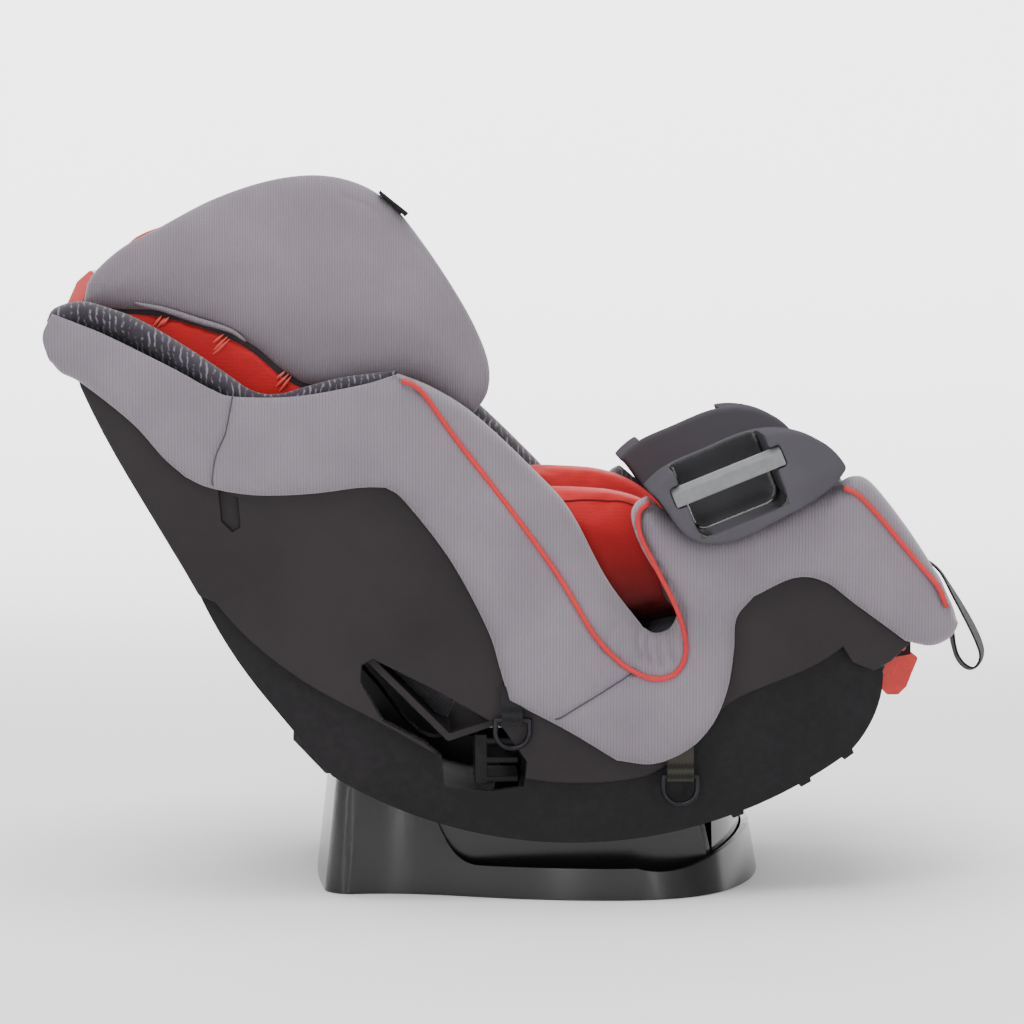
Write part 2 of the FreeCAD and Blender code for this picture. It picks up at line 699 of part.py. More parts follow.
def armrest():
    """Hollow armrest with a cup well that is open at its top and outer side."""
    body = slab(arm_outline(), -ARM_OUT, -ARM_IN)
    body = rounded(body, 3.0, on_width(-ARM_OUT))
    well = [on_arm(-51, 60), on_arm(-51, -24), on_arm(27, -24), on_arm(27, 60)]
    cavity = slab(straight(well), -ARM_OUT - 2, -ARM_IN - 12)
    cavity = rounded(cavity, 13.0, lambda edge: along_y(edge) and low_in_arm(edge))
    for u in (-60, 26):
        pocket = [on_arm(u, 24.5), on_arm(u, 6.5), on_arm(u + 10, 6.5), on_arm(u + 10, 24.5)]
        cavity = cavity.fuse(slab(straight(pocket), -ARM_OUT - 2, -ARM_OUT + 9))
    return body.cut(cavity)


def cup_bar():
    """Bar across the cup well's open side, with a bevelled upper face."""
    face = [on_arm(-59.5, 7.5), on_arm(35.5, 7.5), on_arm(35.5, 23.5), on_arm(-59.5, 23.5)]
    bar = slab(straight(face), -ARM_OUT + 0.5, -ARM_OUT + 8.5)
    return bar.makeChamfer(4.5, [edge for edge in bar.Edges if is_upper_outer(edge)])


def is_upper_outer(edge):
    """Whether an edge is the cup bar's long upper outer one."""
    middle = edge.valueAt(0.5 * (edge.FirstParameter + edge.LastParameter))
    height = turn(middle.x - ARM_X, middle.z - ARM_Z, -ARM_DEG)[1]
    return on_width(-ARM_OUT + 0.5)(edge) and height > 23.0


# ---------------------------------------------------------------- harness

def shoulder_strap():
    """One shoulder strap, from its slot in the back to its tongue at the buckle."""
    along = on_back(1, 0)
    slant = on_back(1, 1)
    out = on_back(0, 1)
    stations = [(on_back(SLOT_A, 58), -SLOT_Y, along), (on_back(SLOT_A, 98), -SLOT_Y, along)]
    stations += [(on_back(SLOT_A - 2, 101.5), -SLOT_Y, slant), (on_back(SLOT_A - 8, 102.6), -SLOT_Y, out)]
    stations += [(on_back(210, 102.6), -51, out), (on_back(150, 104), -47, out)]
    stations += [(on_pan(146, 38), -43, turn(0, 1, PAN_DEG))]
    return strap(stations, SHOULDER_WEB, WEB)


def hip_strap():
    """Lower part of the harness, from a tongue out to the side of the pan."""
    up = turn(0, 1, PAN_DEG)
    stations = [(on_pan(139, 33), -43, up), (on_pan(120, 29.5), -66, up), (on_pan(104, 27.5), -84, up)]
    return strap(stations, 0.7 * SHOULDER_WEB, WEB)


def crotch_strap():
    """Short strap from under the pan up to the buckle."""
    path = [on_pan(216, -14), on_pan(216, 4), on_pan(216, 22), on_pan(216, 35)]
    return band(path, 0.5 * WEB, -19, 19)


def buckle():
    """Buckle body on the crotch strap, hollow for its button."""
    points = [on_pan(158, 26), on_pan(222, 26), on_pan(222, 43), on_pan(204, 47), on_pan(158, 45)]
    body = rounded(slab(straight(points), -23, 23), 3.0, along_y)
    hole = straight([on_pan(172, 42), on_pan(196, 42), on_pan(196, 60), on_pan(172, 60)])
    foot = straight([on_pan(213.5, 20), on_pan(213.5, 37), on_pan(218.5, 37), on_pan(218.5, 20)])
    mouth = straight([on_pan(150, 34), on_pan(168, 34), on_pan(168, 37), on_pan(150, 37)])
    return body.cut(slab(hole, -12.3, 12.3)).cut(slab(foot, -20, 20)).cut(slab(mouth, -21, 21))


def buckle_button():
    """Red release button, pressed in square to the pan."""
    points = [on_pan(172.4, 45), on_pan(195.6, 45), on_pan(195.6, 49), on_pan(172.4, 49)]
    return slab(straight(points), -11.9, 11.9)


def buckle_tongues():
    """Two metal tongues: a slotted plate for the webbing and a blade in the buckle."""
    blade = straight([on_pan(146, 34.7), on_pan(166, 34.7), on_pan(166, 36.3), on_pan(146, 36.3)])
    plate = straight([on_pan(134, 34.7), on_pan(152, 34.7), on_pan(152, 36.3), on_pan(134, 36.3)])
    tongue = slab(blade, -19, -1).fuse(slab(plate, -62, -1))
    return Part.makeCompound([tongue, other_side(tongue)])


def chest_clip():
    """Two moulded halves that join the shoulder straps across the chest."""
    points = [on_back(226, 104.4), on_back(258, 104.4), on_back(256, 112), on_back(228, 112)]
    half = rounded(slab(straight(points), -76, -0.3), 1.5, along_y)
    return Part.makeCompound([half, other_side(half)])


def splitter_plate():
    """Steel plate behind the shell that joins both straps to the pull strap."""
    points = [on_back(228, 44), on_back(262, 44), on_back(262, 46.5), on_back(228, 46.5)]
    return slab(straight(points), -78, 78)


def rear_webbing():
    """Webbing behind the shell: two straps down to the splitter and one on to the front."""
    out = on_back(0, 1)
    ends = [(on_back(SLOT_A + 6, 55), -SLOT_Y, out), (on_back(250, 48.5), -SLOT_Y, out)]
    left = strap(ends, SHOULDER_WEB, WEB)
    low = [on_back(236, 42), on_back(190, 38), (-60, 112), (0, 134), (70, 160)]
    low += [on_pan(300, -18), on_pan(360, -14)]
    pull = band(low, 0.5 * WEB, -0.5 * PULL_WEB, 0.5 * PULL_WEB)
    return Part.makeCompound([left, other_side(left), pull])


def adjuster_body():
    """Housing of the one-pull adjuster, let into the front of the seat pad."""
    points = [on_pan(376, CLEAR), on_pan(412, CLEAR), on_pan(412, 12), on_pan(404, 18), on_pan(376, 18)]
    body = rounded(slab(straight(points), -22, 22), 2.0, along_y)
    gap = straight([on_pan(382, 8), on_pan(420, 8), on_pan(420, 30), on_pan(382, 30)])
    body = body.cut(slab(gap, -16, 16))
    pin = on_pan(388, 13)
    return body.cut(rod(at(pin, -19.5), at(pin, 19.5), 2.05))


def adjuster_lever():
    """Cam lever of the adjuster, on its pin."""
    points = [on_pan(383.5, 11), on_pan(388, 9.5), on_pan(408, 13), on_pan(408, 17), on_pan(386, 17)]
    lever = slab(straight(points), -15.5, 15.5)
    pin = on_pan(388, 13)
    return lever.fuse(rod(at(pin, -19), at(pin, 19), 2.0))


def route(points, shift):
    """Edges of a strap's face: straight runs joined by tangent arcs, set off to one side."""
    edges = []
    last = offset_point(points[0], points[0], points[1], shift)
    for before, corner, after in zip(points, points[1:], points[2:]):
        first = unit(before, corner)
        second = unit(corner, after)
        reach = 0.45 * min(math.dist(before, corner), math.dist(corner, after))
        start = (corner[0] - first[0] * reach, corner[1] - first[1] * reach)
        end = (corner[0] + second[0] * reach, corner[1] + second[1] * reach)
        start = offset_point(start, before, corner, shift)
        end = offset_point(end, corner, after, shift)
        half = 0.5 * turn_between(first, second)
        radius = reach / math.tan(abs(half))
        bulge = unit((0, 0), (first[0] + second[0], first[1] + second[1]))
        side = 1.0 if half > 0 else -1.0
        sagitta = (radius - side * shift) * (1.0 - math.cos(half))
        middle = (0.5 * (start[0] + end[0]) + side * bulge[1] * sagitta,
                  0.5 * (start[1] + end[1]) - side * bulge[0] * sagitta)
        edges.append(Part.makeLine(at(last, 0.0), at(start, 0.0)))
        edges.append(bow(start, middle, end))
        last = end
    final = offset_point(points[-1], points[-2], points[-1], shift)
    edges.append(Part.makeLine(at(last, 0.0), at(final, 0.0)))
    return edges


def unit(start, end):
    """Direction from one side-view point to another."""
    length = math.dist(start, end)
    return ((end[0] - start[0]) / length, (end[1] - start[1]) / length)


def offset_point(point, start, end, shift):
    """A point moved to the left of a run."""
    heading = unit(start, end)
    return (point[0] - heading[1] * shift, point[1] + heading[0] * shift)


def turn_between(first, second):
    """Signed angle from one direction to the next, anticlockwise positive."""
    cross = first[0] * second[1] - first[1] * second[0]
    return math.atan2(cross, first[0] * second[0] + first[1] * second[1])


def print_route(points):
    """Report the bend radii and the length of the hanging strap."""
    radii = []
    for before, corner, after in zip(points, points[1:], points[2:]):
        half = 0.5 * turn_between(unit(before, corner), unit(corner, after))
        reach = 0.45 * min(math.dist(before, corner), math.dist(corner, after))
        radii.append(round(reach / math.tan(abs(half)), 1))
    length = sum(math.dist(start, end) for start, end in zip(points, points[1:]))
    print("pull strap: bend radii", radii, "mm, length about", round(length), "mm")


def adjuster_strap():
    """Pull strap that hangs from the adjuster in a loop at the front of the seat."""
    edges = route(PULL_PATH, 0.5 * WEB) + route(PULL_PATH, -0.5 * WEB)
    for here, there in ((0, 1), (-1, -2)):
        heading = (PULL_PATH[here], PULL_PATH[there]) if here == 0 else (PULL_PATH[there], PULL_PATH[here])
        left = offset_point(PULL_PATH[here], heading[0], heading[1], 0.5 * WEB)
        right = offset_point(PULL_PATH[here], heading[0], heading[1], -0.5 * WEB)
        edges.append(Part.makeLine(at(left, 0.0), at(right, 0.0)))
    return slab(edges, -0.5 * PULL_WEB, 0.5 * PULL_WEB)


def ring(x, z):
    """D-shaped steel ring that hangs by its straight bar, on the child's right."""
    y = -RING_Y
    half = 14.0
    leg = 9.0
    thick = 2.2
    hoop = Part.makeTorus(half, thick, V(x, y, z - leg), V(0, 1, 0))
    hoop = hoop.common(box(x - 20, x + 20, y - 5, y + 5, z - leg - 20, z - leg))
    bar = rod(V(x - half, y, z), V(x + half, y, z), thick)
    for side in (-1, 1):
        corner = V(x + side * half, y, z)
        hoop = hoop.fuse(rod(V(corner.x, y, z - leg), corner, thick))
        bar = bar.fuse(Part.makeSphere(thick, corner))
    return hoop.fuse(bar)


def ring_strap(x, z):
    """Webbing tab that carries a ring: a loop round the ring's bar, fixed to the shell above."""
    y = -RING_Y
    outer = rod(V(x - 11, y, z), V(x + 11, y, z), 4.0)
    hole = rod(V(x - 12, y, z), V(x + 12, y, z), 2.4)
    tail = box(x - 11, x + 11, y - 0.8, y + 0.8, z + 2, z + 32)
    anchor = box(x - 8, x + 8, y, -SHELL_OUT, z + 24, z + 32)
    return outer.fuse(tail).fuse(anchor).cut(hole)


# ---------------------------------------------------------------- recline handle

def recline_handle():
    """Squeeze handle under the front of the seat, with pins at its upper corners."""
    side = [(336, 192), (352, 192), (360, 186), (355, 174), (350, 161), (343, 154), (333, 154), (328, 160)]
    side += [(330, 174)]
    grip = rounded(slab(straight(side), -56, 56), 3.0, along_y)
    recess = straight([(318, 166), (342, 166), (344, 184), (318, 184)])
    grip = grip.cut(slab(recess, -44, 44))
    boss = rod(V(HANDLE_X, -59, HANDLE_Z), V(HANDLE_X, 59, HANDLE_Z), 7.0)
    boss = boss.cut(box(320, 370, -44, 44, 170, 220))
    grip = grip.fuse(boss)
    for y in (-1, 1):
        grip = grip.fuse(rod(V(HANDLE_X, 50 * y, HANDLE_Z), V(HANDLE_X, 66 * y, HANDLE_Z), 3.0))
    return grip


def recline_lock():
    """Lock tooth that slides in and out of the rocker, square to the track."""
    ends = (LOCK_DEG - 1.6, LOCK_DEG + 1.6)
    low = ROCKER_R + 0.9
    high = ROCKER_R - 42
    points = [on_rocker(low, ends[0]), on_rocker(low, ends[1])]
    points += [on_rocker(high, ends[1]), on_rocker(high, ends[0])]
    return slab(straight(points), -12, 12)


# ---------------------------------------------------------------- headrest

def wing_edges():
    """Outline of the headrest's side wing, from the side."""
    back = [(594, 105), (604, 125), (603, 158), (593, 192), (578, 240), (556, 284), (530, 316), (500, 335)]
    crown = [(500, 335), (468, 341), (430, 337), (385, 328), (350, 318), (322, 305), (306, 288), (301, 268)]
    under = [(301, 268), (312, 261), (338, 257), (362, 246), (386, 218), (413, 189), (437, 181), (470, 178)]
    under += [(505, 166), (545, 143), (572, 121), (594, 105)]
    return runs([on_back(a, b) for a, b in back], [on_back(a, b) for a, b in crown],
                [on_back(a, b) for a, b in under])


def head_plate_solid(gap):
    """Headrest's moulding: a back plate with a tall plate inside each wing."""
    g = gap
    outline = [(332 - g, HEAD_BACK - g), (588 + g, HEAD_BACK - g), (588 + g, 170), (560 + g, 250)]
    outline += [(510, 312 + g), (430, 318 + g), (350, 298 + g), (326 - g, 276), (332 - g, 240)]
    side = slab(straight([on_back(a, b) for a, b in outline]), -HEAD_PLATE_OUT - g, -HEAD_PLATE_IN + g)
    flat = [on_back(332 - g, HEAD_BACK - g), on_back(588 + g, HEAD_BACK - g)]
    flat += [on_back(588 + g, HEAD_BACK + 5 + g), on_back(332 - g, HEAD_BACK + 5 + g)]
    back = slab(straight(flat), -HEAD_PLATE_IN - 1, HEAD_PLATE_IN + 1)
    return both_sides(side).fuse(back)


def headrest_shell():
    """The headrest's moulding with its harness opening and the lever's bearings."""
    shell = head_plate_solid(0.0)
    pivot = on_back(HEAD_LEVER_A, HEAD_LEVER_B)
    for y in (-1, 1):
        ear = [on_back(580, HEAD_BACK), on_back(605, HEAD_BACK), on_back(605, 92), on_back(580, 92)]
        shell = shell.fuse(slab(straight(ear), min(56 * y, 61 * y), max(56 * y, 61 * y)))
    shell = shell.cut(rod(at(pivot, -62), at(pivot, 62), 2.55))
    stud = [on_back(402, 61), on_back(432, 61), on_back(432, HEAD_BACK + 1), on_back(402, HEAD_BACK + 1)]
    return shell.fuse(slab(straight(stud), -10, 10))


def headrest_slider():
    """Broad head behind the back plate that keeps the headrest on its track."""
    points = [on_back(398, 54), on_back(436, 54), on_back(436, 60.5), on_back(398, 60.5)]
    return slab(straight(points), -24, 24)


def head_wing():
    """Grey padded wing over one of the headrest's side plates."""
    wing = slab(wing_edges(), -HEAD_HALF, -HEAD_INNER)
    wing = rounded(wing, 9.0, on_either_face(-HEAD_HALF, -HEAD_INNER))
    return wing.cut(head_plate_solid(CLEAR))


def head_base():
    """Red padding round the back of the headrest, under the wings."""
    under = [(332, 256), (362, 244), (385, 217), (412, 187.5), (437, 179.5), (470, 176.5)]
    under += [(505, 164.5), (545, 141), (572, 119), (588, 108)]
    low = HEAD_BACK + 5.6
    edges = runs([on_back(a, b) for a, b in under], [on_back(588, 108), on_back(592, 96)],
                 [on_back(592, 96), on_back(590, low)], [on_back(590, low), on_back(330, low)],
                 [on_back(330, low), on_back(326, 130), on_back(326, 220), on_back(332, 256)])
    body = slab(edges, -HEAD_HALF + 5, HEAD_HALF - 5)
    room = [on_back(300, 121), on_back(640, 121), on_back(640, 400), on_back(300, 400)]
    body = body.cut(slab(straight(room), -HEAD_INNER, HEAD_INNER))
    for y in (-1, 1):
        ear = straight([on_back(574, 60), on_back(620, 60), on_back(620, 93), on_back(574, 93)])
        body = body.cut(slab(ear, min(55 * y, 62 * y), max(55 * y, 62 * y)))
    return body.cut(head_plate_solid(CLEAR))


def head_pillow():
    """Red cushion that lines the inside of the headrest: a back and two side rolls."""
    side = [(586, 122), (600, 145), (606, 166), (600, 187), (580, 222), (546, 282), (500, 316), (430, 320)]
    side += [(360, 304), (330, 275), (336, 200)]
    side.append((345, 122))
    roll = slab(runs([on_back(345, 122), on_back(586, 122)], [on_back(a, b) for a, b in side]),
                -HEAD_INNER + 1, -HEAD_INNER + 33)
    roll = rounded(roll, 8.0, on_either_face(-HEAD_INNER + 1, -HEAD_INNER + 33))
    pad = [(345, 122), (586, 122), (596, 134), (594, 150), (580, 156), (360, 150)]
    back = slab(straight([on_back(a, b) for a, b in pad]), -98, 98)
    return Part.makeCompound([roll, other_side(roll), back])


def belt_guide_clip():
    """Black guide for the vehicle belt on the wing's upper front edge."""
    outline = [on_back(486, 342.6), on_back(456, 346), on_back(456, 341.8), on_back(470, 342.4)]
    outline.append(on_back(485, 339.8))
    clip = slab(straight(outline), -HEAD_HALF + 4, -HEAD_INNER - 8)
    foot = straight([on_back(481, 341), on_back(460, 343), on_back(460, 338), on_back(481, 336)])
    return clip.fuse(slab(foot, -158, -146))


def headrest_lever():
    """Red lever across the top of the headrest's back that frees it to slide."""
    points = [on_back(598, 80), on_back(605, 82), on_back(614, 106), on_back(613, 121), on_back(606, 122)]
    points += [on_back(604, 108), on_back(596, 90)]
    grip = rounded(slab(straight(points), -50, 50), 2.0, along_y)
    pivot = on_back(HEAD_LEVER_A, HEAD_LEVER_B)
    boss = rod(at(pivot, -55), at(pivot, 55), 5.0)
    pins = rod(at(pivot, -60.5), at(pivot, 60.5), 2.5)
    return grip.fuse(boss).fuse(pins)


# ---------------------------------------------------------------- output

def build():
    """Every node by name."""
    right_side = shell_side()
    right_band = rocker_side()
    right_rib = rocker_rib()
    right_cover = side_cover()
    right_piping = piping()
    right_liner = side_liner()
    right_bolster = insert_bolster()
    right_arm = armrest()
    right_bar = cup_bar()
    right_shoulder = shoulder_strap()
    right_hip = hip_strap()
    right_wing = head_wing()
    right_clip = belt_guide_clip().cut(right_wing)
    nodes = {
        "base_shell": base_with_holes(),
        "base_cradle": base_cradle(),
        "recline_rack": recline_rack(),
        "base_feet": base_feet(),
        "base_screws": base_screws(),
        "shell_side_right": right_side,
        "shell_side_left": other_side(right_side),
        "shell_plates": shell_plates(),
        "rear_panel": rear_panel(),
        "rocker_side_right": right_band,
        "rocker_side_left": other_side(right_band),
        "rocker_plate": rocker_plate(),
        "rocker_rib_right": right_rib,
        "rocker_rib_left": other_side(right_rib),
        "rocker_front": rocker_front(),
        "rear_bracket": rear_bracket(),
        "belt_guides": belt_guide(),
        "side_cover_right": right_cover,
        "side_cover_left": other_side(right_cover),
        "piping_right": right_piping,
        "piping_left": other_side(right_piping),
        "side_liner_right": right_liner,
        "side_liner_left": other_side(right_liner),
        "back_pad": back_pad(),
        "seat_pad": seat_pad(),
        "insert_bolster_right": right_bolster,
        "insert_bolster_left": other_side(right_bolster),
        "armrest_right": right_arm,
        "armrest_left": other_side(right_arm),
        "cup_bar_right": right_bar,
        "cup_bar_left": other_side(right_bar),
        "shoulder_straps": Part.makeCompound([right_shoulder, other_side(right_shoulder)]),
        "hip_straps": Part.makeCompound([right_hip, other_side(right_hip)]),
        "crotch_strap": crotch_strap(),
        "buckle": buckle(),
        "buckle_button": buckle_button(),
        "buckle_tongues": buckle_tongues(),
        "chest_clip": chest_clip(),
        "splitter_plate": splitter_plate(),
        "rear_webbing": rear_webbing(),
        "adjuster_body": adjuster_body(),
        "adjuster_lever": adjuster_lever(),
        "adjuster_strap": adjuster_strap(),
        "recline_handle": recline_handle(),
        "recline_lock": recline_lock(),
        "headrest_shell": headrest_shell(),
        "headrest_slider": headrest_slider(),
        "head_wing_right": right_wing,
        "head_wing_left": other_side(right_wing),
        "head_base": head_base(),
        "head_pillow": head_pillow(),
        "head_guide_right": right_clip,
        "head_guide_left": other_side(right_clip),
        "headrest_lever": headrest_lever(),
    }
    for name, x, z in RINGS:
        hoop = ring(x, z)
        tab = ring_strap(x, z)
        nodes["ring_" + name + "_right"] = hoop
        nodes["ring_" + name + "_left"] = other_side(hoop)
        nodes["ring_strap_" + name] = Part.makeCompound([tab, other_side(tab)])
    return nodes


os.makedirs("parts", exist_ok=True)
for node, solid in build().items():
    save(node, solid)
print_route(PULL_PATH)
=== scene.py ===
from contextlib import contextmanager
from math import copysign, cos, dist, pi, radians, sin

import bmesh
import bpy
import numpy as np
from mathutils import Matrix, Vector, noise
from mathutils.geometry import delaunay_2d_cdt
from mathutils.kdtree import KDTree


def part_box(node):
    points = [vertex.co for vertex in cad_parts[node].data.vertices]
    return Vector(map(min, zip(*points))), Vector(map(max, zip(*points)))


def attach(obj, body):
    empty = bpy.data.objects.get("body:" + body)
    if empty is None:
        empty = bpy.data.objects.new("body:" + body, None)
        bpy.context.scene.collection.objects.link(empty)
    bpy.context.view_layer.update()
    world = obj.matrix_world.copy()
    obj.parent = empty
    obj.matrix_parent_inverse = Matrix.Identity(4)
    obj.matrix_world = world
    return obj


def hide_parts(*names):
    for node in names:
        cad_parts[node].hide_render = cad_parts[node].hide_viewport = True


# A convertible car seat in its most reclined position, seen from the child's right.
# Outlines are side views (x forward, z up) in millimetres; everything built is in metres.

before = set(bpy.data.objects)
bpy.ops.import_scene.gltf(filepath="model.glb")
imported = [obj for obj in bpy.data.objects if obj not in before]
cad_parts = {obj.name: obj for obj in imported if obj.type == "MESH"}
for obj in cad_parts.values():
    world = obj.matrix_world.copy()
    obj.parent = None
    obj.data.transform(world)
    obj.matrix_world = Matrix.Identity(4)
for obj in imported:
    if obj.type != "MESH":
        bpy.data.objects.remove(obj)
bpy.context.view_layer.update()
MM = 0.001
WALL_GLOW = 3.0
SIDES = (("right", -1), ("left", 1))

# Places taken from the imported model
SHELL_Y = -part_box("shell_side_right")[0].y
COVER_Y = -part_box("side_cover_right")[0].y
COVER_IN_Y = -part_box("side_cover_right")[1].y
WING_OUT_Y = -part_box("head_wing_right")[0].y
WING_IN_Y = -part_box("head_wing_right")[1].y
CREST_Y = 0.190

# Middle, tilt and sides of the armrests
ARM_MIDDLE = (0.196, 0.345)
ARM_DEG = 22.0
ARM_NEAR_Y = -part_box("armrest_right")[1].y
ARM_FAR_Y = -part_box("armrest_right")[0].y

# Behind this place the base is matt
BASE_END_X = -0.162

# Directions of the reclined back and of the pan
BACK_DEG = 45.0
PAN_DEG = 18.5
PAN_START = (-45.0, 140.5)


def on_back(a, b):
    """Side-view point, in mm, a up the back and b out from it."""
    c = sin(radians(BACK_DEG))
    return ((b - a) * c, (a + b) * c)


def on_pan(s, h):
    """Side-view point, in mm, s forward along the pan and h above it."""
    c = cos(radians(PAN_DEG))
    q = sin(radians(PAN_DEG))
    return (PAN_START[0] + s * c - h * q, PAN_START[1] + s * q + h * c)


# ---- lines

def smooth(points, step=3.0):
    """Points about step apart along a curve through the given ones, in mm; two points stay straight."""
    known = [Vector(point) for point in points]
    if len(known) == 2:
        count = max(1, round((known[1] - known[0]).length / step))
        return [tuple(known[0].lerp(known[1], i / count)) for i in range(count + 1)]
    padded = [2 * known[0] - known[1]] + known + [2 * known[-1] - known[-2]]
    made = []
    for before, start, end, after in zip(padded, padded[1:], padded[2:], padded[3:]):
        count = max(1, round((end - start).length / step))
        for i in range(count):
            t = i / count
            bend = 2 * start + (end - before) * t + (2 * before - 5 * start + 4 * end - after) * t * t
            bend += (3 * start - 3 * end + after - before) * t * t * t
            made.append(tuple(0.5 * bend))
    made.append(tuple(known[-1]))
    return made


def line(*runs, step=3.0):
    """An open side-view line in metres that follows several runs given in mm."""
    made = []
    for run in runs:
        made += [point for point in smooth(run, step) if not made or dist(point, made[-1]) > 0.2]
    return MM * np.array(made)


def loop(*runs, step=3.0):
    """A closed side-view outline in metres, counted anticlockwise as the camera sees it."""
    made = line(*runs, step=step)
    if np.linalg.norm(made[0] - made[-1]) < 0.0003:
        made = made[:-1]
    after = np.roll(made, -1, 0)
    area = np.sum(made[:, 0] * after[:, 1] - made[:, 1] * after[:, 0])
    return made if area > 0 else made[::-1]


def distance(points, path, closed=False):
    """How far each point is from a line of straight pieces."""
    start = path if closed else path[:-1]
    end = np.roll(path, -1, 0) if closed else path[1:]
    along = end - start
    length = np.maximum((along ** 2).sum(1), 1e-18)
    nearest = np.full(len(points), 1e9)
    for first in range(0, len(points), 2000):
        chunk = points[first:first + 2000]
        rel = chunk[:, None, :] - start[None, :, :]
        share = np.clip((rel * along[None]).sum(2) / length, 0, 1)
        gap = rel - share[:, :, None] * along[None]
        nearest[first:first + 2000] = np.sqrt((gap ** 2).sum(2)).min(1)
    return nearest


def inside(points, outline):
    """Which points lie inside a closed outline."""
    found = np.zeros(len(points), bool)
    x = points[:, 0]
    z = points[:, 1]
    for (x0, z0), (x1, z1) in zip(outline, np.roll(outline, -1, 0)):
        crosses = (z0 > z) != (z1 > z)
        if z1 != z0:
            found ^= crosses & (x < x0 + (z - z0) * (x1 - x0) / (z1 - z0))
    return found


def soft(value):
    """Smooth step from 0 to 1."""
    t = np.clip(value, 0, 1)
    return t * t * (3 - 2 * t)


def dome(edge, radius):
    """Height, from 0 to 1, of a quarter-round rim at a distance from the edge."""
    t = np.clip(edge / radius, 0, 1)
    return np.sqrt(1 - (1 - t) ** 2)


def waves(points, size, seed):
    """Slow unevenness between about -1 and 1, for each side-view point."""
    return np.array([noise.noise((x / size, seed, z / size)) for x, z in points]) * 2


# ---- meshes

@contextmanager
def editing(mesh):
    """A mesh opened for editing and then written back."""
    work = bmesh.new()
    work.from_mesh(mesh)
    yield work
    work.to_mesh(mesh)
    work.free()


def smoothed(work, rounds):
    """Even out the points of an edited mesh."""
    for _ in range(rounds):
        bmesh.ops.smooth_vert(work, verts=work.verts, factor=0.5,
                              use_axis_x=True, use_axis_y=True, use_axis_z=True)


def modifier(obj, name, kind, **settings):
    """A modifier with its settings."""
    made = obj.modifiers.new(name, kind)
    for key, value in settings.items():
        setattr(made, key, value)
    return made


def linked(name, data):
    """A new object in the scene."""
    made = bpy.data.objects.new(name, data)
    bpy.context.scene.collection.objects.link(made)
    return made


def new_object(name, vertices, faces):
    """A mesh object from plain lists."""
    mesh = bpy.data.meshes.new(name)
    mesh.from_pydata([tuple(v) for v in vertices], [], faces)
    mesh.validate()
    mesh.shade_smooth()
    return linked(name, mesh)


def thinned(groups):
    """Points of several groups in order, each kept only if it is clear of those before it."""
    kept = [tuple(p) for p in groups[0][0]]
    for points, gap in groups[1:]:
        tree = KDTree(len(kept) + len(points))
        for index, point in enumerate(kept):
            tree.insert((point[0], point[1], 0), index)
        tree.balance()
        kept += [tuple(p) for p in points if tree.find((p[0], p[1], 0))[2] > gap]
    return kept


def rows_beside(path, offsets):
    """Points on both sides of a line, at each offset."""
    heading = np.gradient(path, axis=0)
    heading /= np.maximum(np.linalg.norm(heading, axis=1), 1e-12)[:, None]
    normal = np.stack([-heading[:, 1], heading[:, 0]], 1)
    return [point for offset in offsets for point in path + normal * offset]


def panel(name, outline, faces, spacing=0.005, rim=0.012, creases=()):
    """A closed pillow over an outline. faces(points, edge) gives the outer and the inner y of each point,
    which are equal on the outline itself."""
    after = np.roll(outline, -1, 0)
    before = np.roll(outline, 1, 0)
    inward = np.stack([before[:, 1] - after[:, 1], after[:, 0] - before[:, 0]], 1)
    inward /= np.maximum(np.linalg.norm(inward, axis=1), 1e-12)[:, None]
    groups = [(outline, 0)]
    for share in (0.04, 0.14, 0.3, 0.55, 0.8):
        ring = outline + inward * share * rim
        keep = inside(ring, outline) & (distance(ring, outline, True) > 0.85 * share * rim)
        groups.append((ring[keep], 0.4 * max(share * rim, 0.001)))
    for crease in creases:
        rows = np.array(rows_beside(crease, (0, -0.0015, 0.0015, -0.0035, 0.0035)))
        keep = inside(rows, outline) & (distance(rows, outline, True) > 0.0012)
        groups.append((rows[keep], 0.0009))
    low = outline.min(0)
    high = outline.max(0)
    lattice = np.array([(x, z) for x in np.arange(low[0], high[0], spacing)
                        for z in np.arange(low[1], high[1], spacing)])
    lattice = lattice[inside(lattice, outline)]
    lattice = lattice[distance(lattice, outline, True) > 0.9 * rim]
    groups.append((lattice, 0.6 * spacing))
    flat = thinned(groups)
    ring = list(range(len(outline)))
    made = delaunay_2d_cdt([Vector(p) for p in flat], [], [ring], 1, 1e-7)
    points = np.array([tuple(p) for p in made[0]])
    edge = distance(points, outline, True)
    on_edge = edge < 1e-6
    outer, inner = faces(points, edge)
    vertices = [(x, y, z) for (x, z), y in zip(points, outer)]
    twin = {}
    for index in range(len(points)):
        twin[index] = index
        if not on_edge[index]:
            twin[index] = len(vertices)
            vertices.append((points[index, 0], inner[index], points[index, 1]))
    triangles = [tuple(face) for face in made[2]]
    back = [tuple(twin[i] for i in reversed(face)) for face in triangles]
    obj = new_object(name, vertices, triangles + back)
    tidy_quads(obj)
    return obj


def tidy_quads(obj):
    """Join pairs of triangles and drop doubled points."""
    with editing(obj.data) as work:
        bmesh.ops.remove_doubles(work, verts=work.verts, dist=1e-6)
        bmesh.ops.join_triangles(work, faces=work.faces, angle_face_threshold=0.6, angle_shape_threshold=0.9)
        bmesh.ops.recalc_face_normals(work, faces=work.faces)
    obj.data.shade_smooth()


def mirrored(obj, name):
    """The same piece on the child's left."""
    mesh = obj.data.copy()
    twin = linked(name, mesh)
    with editing(mesh) as work:
        for vertex in work.verts:
            vertex.co.y = -vertex.co.y
        bmesh.ops.reverse_faces(work, faces=work.faces)
    return twin


def heading_at(path, index):
    """Direction of a path at one of its points."""
    return (path[min(index + 1, len(path) - 1)] - path[max(index - 1, 0)]).normalized()


